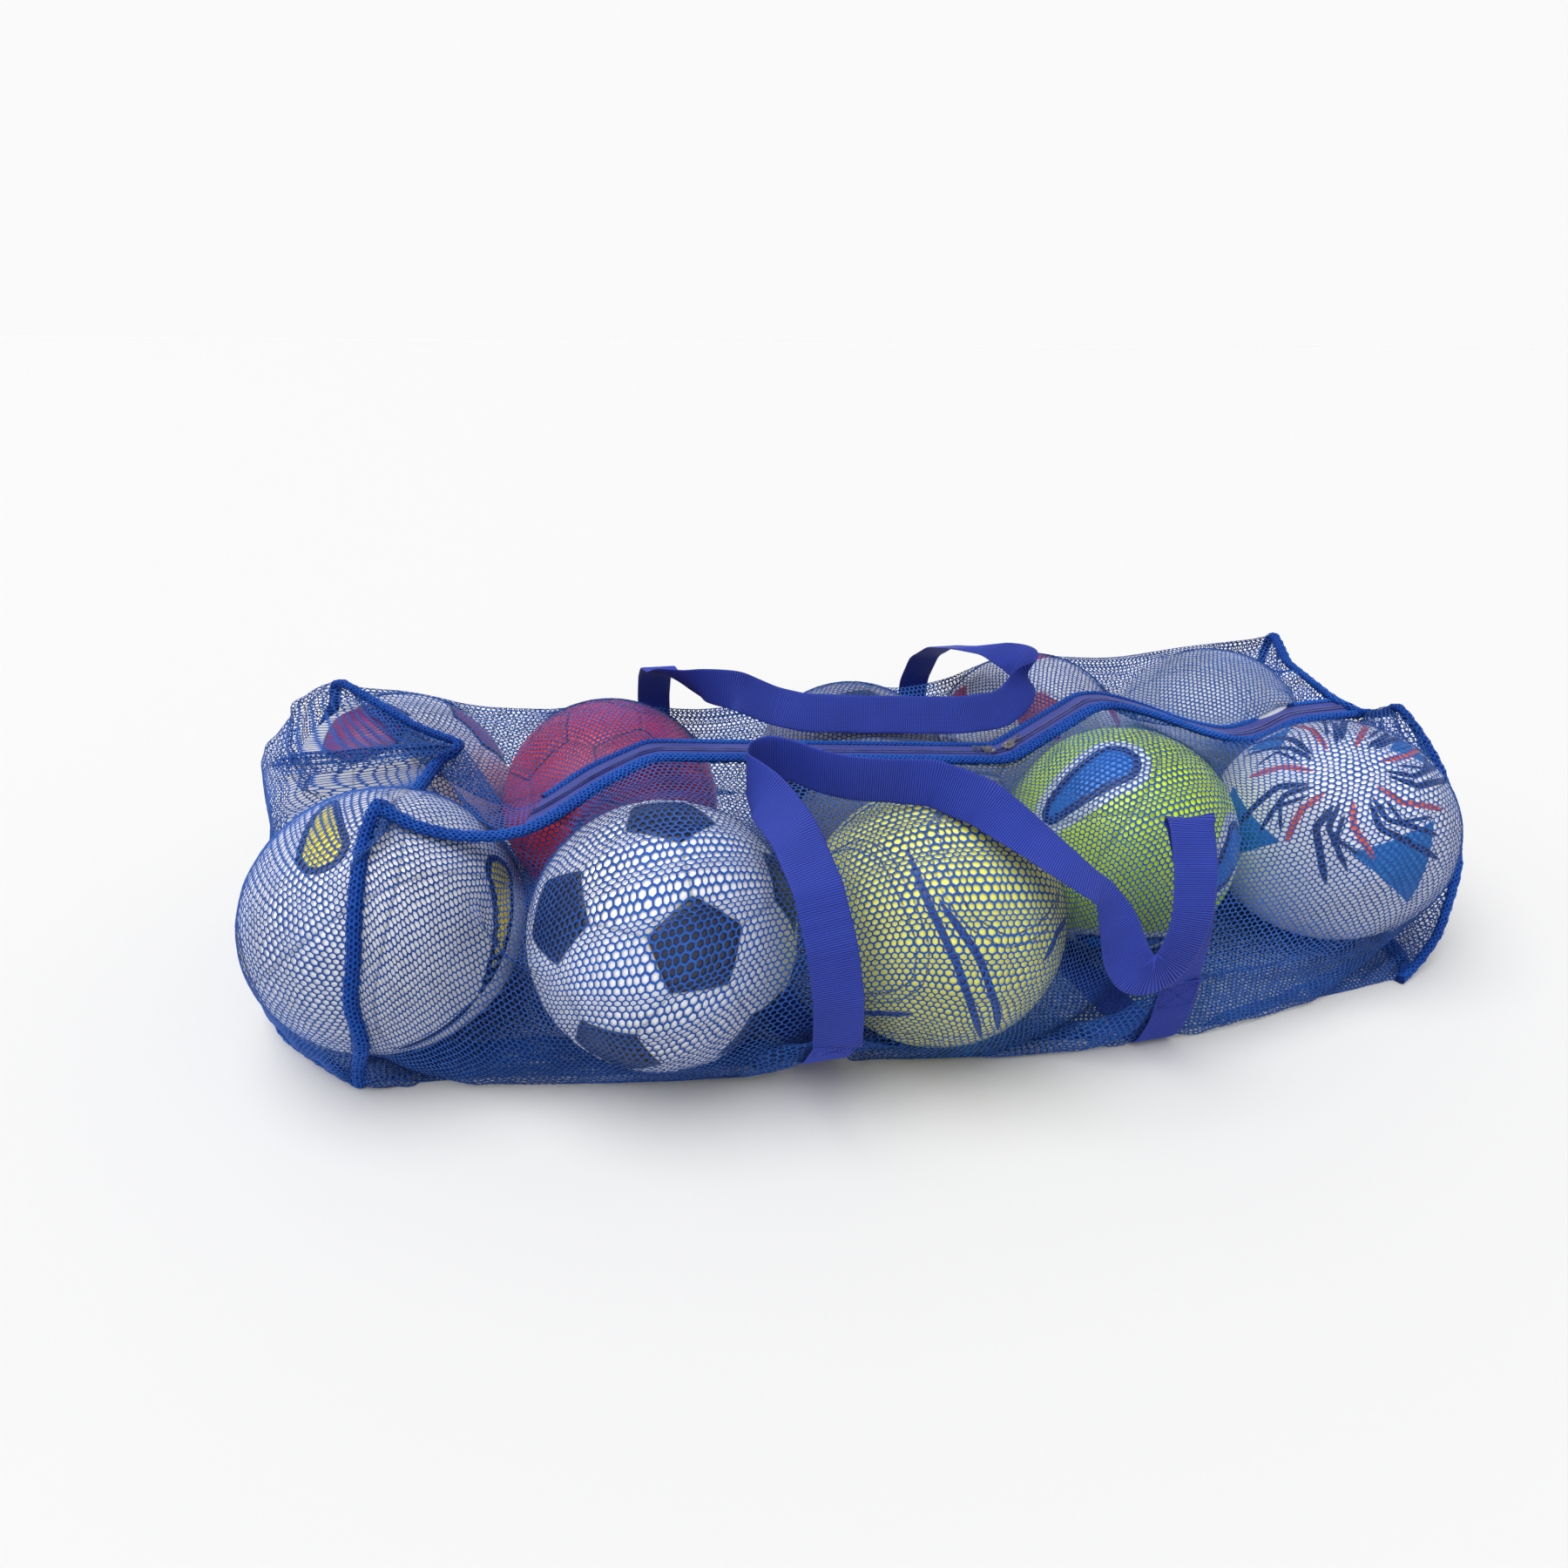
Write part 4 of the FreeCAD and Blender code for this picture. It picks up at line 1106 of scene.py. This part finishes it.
def hex_patch_ball(points):
    """Every third hexagon is printed."""
    seam, pentagon, six_score = panel_fields(points, (-0.1, 0.15), (0.3, 0.9))
    rest = np.delete(six_score, np.s_[::3], axis=1).max(1)
    five_score = pentagon / PANEL_SCALE + six_score.max(1)
    patch = (six_score[:, ::3].max(1) - np.maximum(rest, five_score)) * PANEL_SCALE
    return seam, {"mark": patch}, WHITE, [
        ("mark", 0.0005, NAVY), ("mark", 0.004, (0.26, 0.015, 0.12))]


def red_ball(points):
    seam, pentagon, _ = panel_fields(points, (0.25, 0.3), (0.3, 0.95))
    ring = 0.0012 - abs(pentagon + 0.006)
    return seam, {"mark": ring}, (0.85, 0.035, 0.055), [("mark", 0.0, (0.20, 0.010, 0.03))]


def grey_ball(points):
    seam, pentagon, _ = panel_fields(points, (0.1, 0.75), (0.9, 0.4))
    bar = stroke(points, [(-0.3, 0.6), (0.2, 0.75), (0.6, 0.6)], 0.08)
    return seam, {"mark": pentagon, "bar": bar}, (0.46, 0.42, 0.40), [
        ("bar", 0.0, (0.50, 0.03, 0.04)), ("mark", 0.006, (0.03, 0.03, 0.04))]


def red_patch_ball(points):
    seam, pentagon, _ = panel_fields(points, (0.12, 0.30), (0.8, 0.5))
    return seam, {"mark": pentagon}, WHITE, [("mark", 0.005, (0.50, 0.03, 0.035))]


def swirl_ball(points):
    thin = [[(-0.75, 0.2), (-0.4, -0.35), (0.1, -0.4), (0.55, -0.1), (0.75, 0.35)],
            [(-0.85, 0.35), (-0.3, 0.72), (0.2, 0.66), (0.42, 0.30), (0.2, 0.0)],
            [(-0.2, -0.85), (0.3, -0.6), (0.8, -0.45)]]
    thick = [[(0.35, -0.55), (0.62, -0.05), (0.82, 0.25)],
             [(0.0, -0.75), (0.3, -0.35), (0.75, 0.05)]]
    curve = together(stroke, points, *[(line, 0.055) for line in thin])
    double = np.minimum(curve, 0.0020 - curve)
    mark = together(stroke, points, *[(line, 0.030) for line in thick])
    return no_seams(points), {"line": double, "mark": mark}, (0.60, 0.64, 0.68), [
        ("line", 0.0002, (0.05, 0.12, 0.30)), ("mark", 0.0, (0.03, 0.10, 0.35))]


BALL_PRINTS = {
    "ball_front_1": teardrop_ball, "ball_front_2": classic_ball, "ball_front_3": lined_ball,
    "ball_front_4": patched_ball, "ball_front_5": burst_ball, "ball_back_1": hex_patch_ball,
    "ball_back_2": red_ball, "ball_back_3": grey_ball, "ball_back_4": red_patch_ball,
    "ball_back_5": swirl_ball,
}
GROOVE_DEPTH = 0.0013
GROOVE_WIDTH = 0.0019


def make_balls():
    directions, faces = ico_points()
    for name, centre in zip(BALL_NAMES, BALL_CENTRES):
        axes = facing_axes(centre)
        local = directions @ axes.T
        seam, fields, base, layers = BALL_PRINTS[name](local)
        groove = GROOVE_DEPTH * np.exp(-(seam / GROOVE_WIDTH) ** 2)
        points = centre + directions * (BALL_RADIUS - BALL_GAP - groove)[:, None]
        label = name.replace("ball", "cover")
        material = cover_material(label, base, layers)
        piece = mesh_piece("football_" + name[5:], points, faces, material)
        for field, values in {"seam": seam, **fields}.items():
            layer = piece.data.attributes.new(field, "FLOAT", "POINT")
            layer.data.foreach_set("value", values.astype(np.float32))
        finish_piece(piece, "bag", label, name)


# ---------------------------------------------------------------- net bag

net_yarn = yarn_material("net", NET_DARK, NET_LIGHT)
roll_yarn = yarn_material("rolled_net", ROLL_DARK, ROLL_LIGHT)
# The roll's core: the net's own yarn painted darker, as painted shade inside the roll.
shaded_core_yarn = yarn_material("roll_core", (0.001, 0.012, 0.10), (0.003, 0.030, 0.19), 0.8)


def make_bag():
    index, place = drape()
    nx, ny, nz = CELLS
    front = np.concatenate([index[:, ZIP_COLUMN::-1, nz], index[:, 0, nz - 1::-1]], 1)
    back = np.concatenate([index[:, ZIP_COLUMN + 1:, nz], index[:, ny, nz - 1::-1]], 1)
    length = nx * STEP
    girth = ZIP_COLUMN * STEP + nz * STEP
    across = (ny - 1) * STEP + ZIP_GAP
    panels = [
        ("front_net", front, (length * FRONT_TAUT, girth), 1, 2, "front_panel"),
        ("back_net", back, (length, girth), -1, 2, "back_panel"),
        ("bottom_net", index[:, :, 0], (length, across), -1, 2, "bottom_panel"),
        ("left_end_net", index[0, :, :], (across * LEFT_FLARE, nz * STEP), -1, 1, "left_end_panel"),
        ("right_end_net", index[-1, :, :], (across, nz * STEP), 1, 1, "right_end_panel"),
    ]
    for name, ids, flat, turn, splits, node in panels:
        net_pieces(name, place[ids], flat, turn, splits, nodes=[node])
    make_end_seams(index, place)
    make_left_folds(index, place)


FOLD_POINTS = (40, 29)            # points along the gathered net and across it


def make_left_folds(index, place):
    """The net goes on past the zip's hidden end, and the left end is gathered there."""
    columns = int((place[index[:, ZIP_COLUMN, -1], 0] < ZIP_START + 0.01).sum()) + 1
    gusset = place[index[:columns, ZIP_COLUMN:ZIP_COLUMN + 2, -1]]
    net_pieces("left_gusset_net", gusset, ((columns - 1) * STEP, ZIP_GAP))
    spine = smooth_line(along(LEFT_FOLDS, FOLD_POINTS[0]), 6)
    share = np.linspace(0, 1, FOLD_POINTS[0])[:, None]
    across = np.linspace(-1, 1, FOLD_POINTS[1])[None, :]
    spread = 0.010 + 0.014 * np.sin(math.pi * share) ** 0.5
    ripple = 0.0045 * np.sin(across * 8.5 + 3 * share) * (1 - 0.6 * across ** 2) + 0.003
    grid = np.stack([spine[:, :1] + 0.004 * np.sin(across * 5) + 0 * share,
                     spine[:, 1:2] + across * spread,
                     spine[:, 2:] + ripple + 0.004 * np.cos(across * 2.2 + share)], -1)
    push_off_balls(grid.reshape(-1, 3), BALL_RADIUS + 0.002)
    steps = np.linalg.norm(np.diff(grid, axis=1), axis=2).sum(1)
    flat = (line_length(spine), float(steps.mean()))
    net_pieces("left_end_folds", grid, flat)


def make_end_seams(index, place):
    nx, ny, nz = CELLS
    for name, end in (("left", 0), ("right", nx)):
        ids = np.concatenate([index[end, 0, :], index[end, 1:, nz], index[end, ny, nz - 1::-1],
                              index[end, ny - 1:0:-1, 0]])
        ring = place[ids]
        middle = ring.mean(0)
        ring = np.concatenate([ring, ring[:2]])
        out = unit(ring - middle)
        fine = np.linspace(0, len(ring) - 1, 3 * len(ring))
        up = sampled(out, fine)
        line = smooth_line(sampled(ring, fine), 4) + up * SEAM_OUT
        line[:, 2] = np.maximum(line[:, 2], SEAM_LOWEST)
        rolled_net(name + "_end_roll", line, up, SEAM_WIDTH, SEAM_THICK, name + "_end_seam")


# ---------------------------------------------------------------- zip

UP = np.array([0.0, 0.0, 1.0])
ZIP_POINTS = 520          # points of each side of the zip
EAR_POINTS = 560          # and of the front hem, which goes on to the ear

# The tape's section: share of the way from the hem to the zip's middle, and rise.
TAPE_SECTION = ((0.12, 0.0), (0.35, 0.0002), (0.6, 0.0), (0.8, 0.0001), (0.93, 0.0003))


def make_zip():
    front, back = (zip_side(stations, ZIP_POINTS) for stations in (ZIP_FRONT, ZIP_BACK))
    shown = front[:, 0] > ZIP_START
    front, back = front[shown], back[shown]
    middle = (front + back) / 2
    for side, row, (width, thick) in (("front", front, FRONT_HEM), ("back", back, BACK_HEM)):
        line = row + UP * HEM_RISE
        if side == "front":
            line = ear_hem(line)
        rolled_net(side + "_hem_roll", line, UP, width, thick, side + "_zip_hem")
        towards = unit(middle - row)
        reach = np.linalg.norm(middle - row, axis=1, keepdims=True)
        top = [row + towards * (reach * share) + UP * (rise + TAPE_THICK / 2)
               for share, rise in TAPE_SECTION]
        low = [points - UP * TAPE_THICK for points in top[::-1]]
        ribbon(side + "_tape", np.stack(top + low, 1), tape, "zip_tape", side + "_zip_tape")
        make_coil(side, middle, towards)


def ear_hem(line):
    """The front hem with its last stretch, from the zip's hidden end to the ear."""
    line = np.concatenate([np.array(EAR_FOLD), line[line[:, 0] > EAR_FOLD[-1][0] + 0.02]])
    line = softened(along(line, int(line_length(line) / FINE) + 1), 0.008)
    line = along(line, EAR_POINTS)
    push_off_balls(line, BALL_RADIUS + 0.0035)
    return smooth_line(line, 3)


def ribbon(name, ring, material, slot, node):
    faces = ring_quads(*ring.shape[:2])[1]
    finish_piece(mesh_piece(name, ring.reshape(-1, 3), faces, material), "bag", slot, node)


def make_coil(side, middle, towards):
    """One row of the zip's nylon coil: a loop of monofilament at every pitch."""
    teeth = int(line_length(middle) / COIL_PITCH)
    line = along(np.concatenate([middle, towards], 1), teeth * COIL_POINTS)
    centre, out = line[:, :3], -unit(line[:, 3:])
    phase = np.arange(len(centre)) * 2 * math.pi / COIL_POINTS
    bulge = 0.5 + 0.5 * np.cos(phase)
    ring = []
    for share, rise in ((0.0, 0.2), (0.06, 1.0), (0.5, 1.25), (0.94, 1.0), (1.0, 0.2)):
        reach = COIL_INNER + (COIL_OUTER - COIL_INNER) * share - 0.0004 * bulge * (share < 0.1)
        high = TAPE_THICK / 2 + COIL_HIGH * rise * (0.55 + 0.45 * bulge)
        ring.append(centre + out * reach[:, None] + UP * high[:, None])
    ribbon(side + "_coil", np.stack(ring, 1), coil, "zip_coil", side + "_zip_coil")


# ---------------------------------------------------------------- webbing routes

ALONG = (1, 0, 0)
UPRIGHT = (0, 0, 1)
LEANING = (0, -0.5, -0.87)

# Stations of each handle: the middle of the webbing, and its width direction.
FRONT_HANDLE = [
    ((-0.1080, -0.2735, 0.0795), (1, -0.09, 0)), ((-0.1085, -0.2750, 0.105), (1, -0.09, 0)),
    ((-0.109, -0.2750, 0.125), (1, -0.09, 0)), ((-0.113, -0.267, 0.165), (1, -0.05, 0)),
    ((-0.118, -0.244, 0.202), (1, 0.1, 0.1)), ((-0.128, -0.208, 0.230), (1, 0.5, 0.5)),
    ((-0.142, -0.172, 0.244), (0.5, 0.6, 1)), ((-0.150, -0.136, 0.245), UPRIGHT),
    ((-0.142, -0.113, 0.245), UPRIGHT), ((-0.124, -0.105, 0.245), UPRIGHT),
    ((-0.107, -0.119, 0.245), UPRIGHT), ((-0.092, -0.142, 0.245), UPRIGHT),
    ((-0.070, -0.160, 0.245), UPRIGHT), ((-0.042, -0.170, 0.245), UPRIGHT),
    ((-0.010, -0.178, 0.244), (0.1, 0.2, 1)), ((0.020, -0.206, 0.238), (0.4, 0.5, 0.8)),
    ((0.050, -0.236, 0.219), (0.75, 0.5, 0.25)), ((0.076, -0.256, 0.200), (0.8, 0.55, 0)),
    ((0.096, -0.268, 0.186), (0.7, 0.6, -0.1)),
    ((0.107, -0.278, 0.160), (0.85, 0.25, 0.2)), ((0.117, -0.281, 0.132), (0.85, 0, 0.5)),
    ((0.128, -0.282, 0.116), (0.5, 0, 0.8)), ((0.142, -0.282, 0.111), UPRIGHT),
    ((0.156, -0.282, 0.119), (-0.6, 0, 0.8)), ((0.166, -0.280, 0.138), (-0.9, 0, 0.4)),
    ((0.173, -0.274, 0.160), (-0.95, 0, 0.2)), ((0.177, -0.262, 0.190), (-1, 0, 0)),
    ((0.180, -0.246, 0.213), (-1, 0, 0)), ((0.1815, -0.238, 0.2215), (-1, 0, 0)),
    ((0.183, -0.234, 0.2235), (-1, 0, 0)), ((0.184, -0.2305, 0.2215), (-1, 0, 0)),
    ((0.186, -0.2315, 0.212), (-1, 0, 0)), ((0.188, -0.241, 0.193), (-1, -0.05, 0)),
    ((0.189, -0.256, 0.163), (-1, -0.12, 0)), ((0.1889, -0.2625, 0.125), (-1, -0.13, 0)),
    ((0.1889, -0.2620, 0.105), (-1, -0.13, 0)), ((0.1889, -0.2613, 0.0795), (-1, -0.13, 0)),
]
BACK_HANDLE = [
    ((-0.1887, 0.26475, 0.0795), ALONG), ((-0.1887, 0.2655, 0.125), ALONG),
    ((-0.189, 0.260, 0.165), ALONG), ((-0.188, 0.235, 0.202), ALONG),
    ((-0.187, 0.200, 0.224), ALONG), ((-0.184, 0.160, 0.229), (1, 0.1, -0.2)),
    ((-0.178, 0.120, 0.238), (0.8, 0.2, -0.7)), ((-0.160, 0.080, 0.243), (0.6, -0.2, -0.8)),
    ((-0.125, 0.047, 0.247), (0.1, -0.4, -0.9)), ((-0.090, 0.040, 0.231), LEANING),
    ((-0.060, 0.033, 0.224), LEANING), ((0.000, 0.028, 0.2195), LEANING),
    ((0.060, 0.023, 0.216), LEANING), ((0.100, 0.020, 0.214), LEANING),
    ((0.140, 0.022, 0.215), LEANING), ((0.160, 0.031, 0.2195), LEANING),
    ((0.172, 0.038, 0.229), (-0.1, -0.5, -0.9)), ((0.185, 0.050, 0.247), (-0.3, -0.3, -0.9)),
    ((0.184, 0.076, 0.250), (-0.8, -0.3, -0.7)),
    ((0.170, 0.106, 0.252), (-1, -0.3, -0.2)), ((0.155, 0.145, 0.242), (-1, 0, 0)),
    ((0.145, 0.190, 0.230), (-1, 0, 0)), ((0.141, 0.232, 0.204), (-1, 0, 0)),
    ((0.140, 0.258, 0.165), (-1, 0, 0)), ((0.141, 0.2630, 0.125), (-1, 0, 0)),
    ((0.141, 0.2623, 0.0795), (-1, 0, 0)),
]
BAND_STAND = 0.003        # the bands stand this far off the net's goals
BAND_BOW = 0.006          # and bow out this much more half way up
BAND_LEVEL = 0.0009
BAND_TOP = BEND_HEIGHT - 0.003


def make_handles():
    for name, route, soften in (("front_handle", FRONT_HANDLE, 0.0045),
                                ("back_handle", BACK_HANDLE, 0.006)):
        strap = webbing(name, route, soften)
        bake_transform(strap)


def make_bands():
    for name, sides in BANDS.items():
        stations = []
        for side, way in (("front", -1), ("back", 1)):
            (x, y), foot = sides[side]
            half = [
                (x, y + way * BAND_STAND, BAND_TOP),
                (x, (y + foot) / 2 + way * (BAND_STAND + BAND_BOW), BAND_TOP / 2),
                (x, foot + way * (BAND_STAND + BAND_BOW), 0.012),
                (x, foot + way * (BAND_STAND - 0.004), BAND_LEVEL),
                (x, foot - way * 0.03, BAND_LEVEL),
            ]
            stations += [(centre, ALONG) for centre in half[::-way]]
        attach(webbing(name, stations, 0.005), "bag")


STITCH_LENGTH = 0.0026
STITCH_PITCH = STITCH_LENGTH * 1.25
STITCH_THICK = 0.0005
TACK_HEIGHTS = (0.056, 0.080)
TACK_WIDTH = WEBBING_WIDTH - 0.007


def stitch_box(origin, right, up, out, wide, high):
    """Stitches round a box and across its diagonals."""
    corners = [(-wide / 2, 0), (wide / 2, 0), (wide / 2, high), (-wide / 2, high)]
    runs = [(corners[n], corners[(n + 1) % 4]) for n in range(4)]
    runs += [(corners[0], corners[2]), (corners[1], corners[3])]
    points = []
    faces = []
    for start, end in runs:
        start, end = np.array(start), np.array(end)
        length = np.linalg.norm(end - start)
        count = int(length / STITCH_PITCH)
        direction = (end - start) / length
        for n in range(count):
            middle = start + direction * length * (n + 0.5) / count
            centre = origin + right * middle[0] + up * middle[1]
            course = right * direction[0] + up * direction[1]
            side = np.cross(out, course)
            base = len(points)
            points += [centre - course * STITCH_LENGTH / 2, centre + course * STITCH_LENGTH / 2,
                       centre + side * STITCH_THICK, centre + out * STITCH_THICK,
                       centre - side * STITCH_THICK, centre - out * STITCH_THICK]
            for a, b in ((2, 3), (3, 4), (4, 5), (5, 2)):
                faces += [(base, base + b, base + a), (base + 1, base + a, base + b)]
    return points, faces


def make_tacks():
    points = []
    faces = []
    low, high = TACK_HEIGHTS
    right = np.array([1.0, 0, 0])
    for sides in BANDS.values():
        for side, way in (("front", -1), ("back", 1)):
            (x, y), foot = sides[side]
            at_low = foot + (y - foot) * low / BEND_HEIGHT + way * (BAND_STAND + BAND_BOW * 0.8)
            at_high = y + way * (BAND_STAND + BAND_BOW * 0.06)
            run = np.array([0, at_high - at_low, high - low])
            up = unit(run)
            out = np.cross(right, up) * -way
            origin = np.array([x, at_low, low]) + out * (WEBBING_THICK / 2 + 0.0003)
            more, shapes = stitch_box(origin, right, up, out, TACK_WIDTH, np.linalg.norm(run))
            base = len(points)
            points += more
            faces += [tuple(base + corner for corner in shape) for shape in shapes]
    piece = mesh_piece("band_stitches", np.array(points), np.array(faces), thread)
    finish_piece(piece, "bag", "thread", "band_tacks")


# ---------------------------------------------------------------- stage

CAMERA_PLACE = (-0.2670, -0.7718, 0.5560)
CAMERA_AXES = ((0.97509, -0.22159, 0.00978), (0.08955, 0.43361, 0.89664),
               (-0.20293, -0.87343, 0.44266))
FOCAL_LENGTH = 20.88
SENSOR_WIDTH = 36.0
SOFTBOX_PLACE = (-0.28, -0.12, 1.0)
SOFTBOX_SPREAD = 62
SOFTBOX_POWER = 3.1
FLOOR_REACH = 90.0
FLOOR_SHADE = 0.65
HORIZON_SHADE = 0.955
OVERHEAD_SHADE = 0.40


def make_stage():
    scene = bpy.context.scene
    camera = bpy.data.objects.new("camera", bpy.data.cameras.new("camera"))
    scene.collection.objects.link(camera)
    turn = Matrix(CAMERA_AXES).transposed().to_4x4()
    camera.matrix_world = Matrix.Translation(CAMERA_PLACE) @ turn
    camera.data.lens = FOCAL_LENGTH
    camera.data.sensor_width = SENSOR_WIDTH
    camera.data.clip_start = 0.01
    camera.data.dof.use_dof = False
    scene.camera = camera
    scene.view_settings.view_transform = "Standard"

    mesh = bpy.data.meshes.new("floor")
    corners = [(-1, -1), (1, -1), (1, 1), (-1, 1)]
    corners = [(FLOOR_REACH * x, FLOOR_REACH * y, 0) for x, y in corners]
    mesh.from_pydata(corners, [], [(0, 1, 2, 3)])
    floor = bpy.data.objects.new("floor", mesh)
    scene.collection.objects.link(floor)
    paper = Recipe("floor_paper", 0.85)
    paper.shader.inputs["Base Color"].default_value = (*grey(FLOOR_SHADE), 1)
    mesh.materials.append(paper.material)

    make_world(scene)
    data = bpy.data.lights.new("softbox", "SUN")
    data.energy = SOFTBOX_POWER
    data.angle = math.radians(SOFTBOX_SPREAD)
    light = bpy.data.objects.new("softbox", data)
    scene.collection.objects.link(light)
    back = unit(np.array(SOFTBOX_PLACE))
    right = unit(np.cross((0, 0, 1), back))
    up = np.cross(back, right)
    light.matrix_world = Matrix((right, up, back)).transposed().to_4x4()


def make_world(scene):
    """A pale studio: bright round the horizon, dimmer overhead, and plain to the camera."""
    world = bpy.data.worlds.new("studio")
    world.use_nodes = True
    nodes = Nodes(world.node_tree)
    place = nodes.node("ShaderNodeTexCoord").outputs["Generated"]
    split = nodes.node("ShaderNodeSeparateXYZ", {"Vector": place})
    light = nodes.ramp(split.outputs["Z"],
                       [(0.32, grey(HORIZON_SHADE)), (0.62, grey(OVERHEAD_SHADE))])
    seen = nodes.node("ShaderNodeLightPath").outputs["Is Camera Ray"]
    background = world.node_tree.nodes["Background"]
    nodes.link(nodes.mix(seen, light, grey(HORIZON_SHADE)), background.inputs["Color"])
    background.inputs["Strength"].default_value = 1.0
    scene.world = world


# ---------------------------------------------------------------- make everything

make_stage()
web = webbing_material()
tape = tape_material()
coil = coil_material()
thread = yarn_material("thread", WEB_DARK, WEB_LIGHT, 0.5)
metal = metal_material()

make_balls()
make_bag()
make_zip()
make_handles()
make_bands()
make_tacks()
for node in ("left_slider", "right_slider", "left_pull", "right_pull"):
    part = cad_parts[node]
    part.data.materials.clear()
    part.data.materials.append(metal)
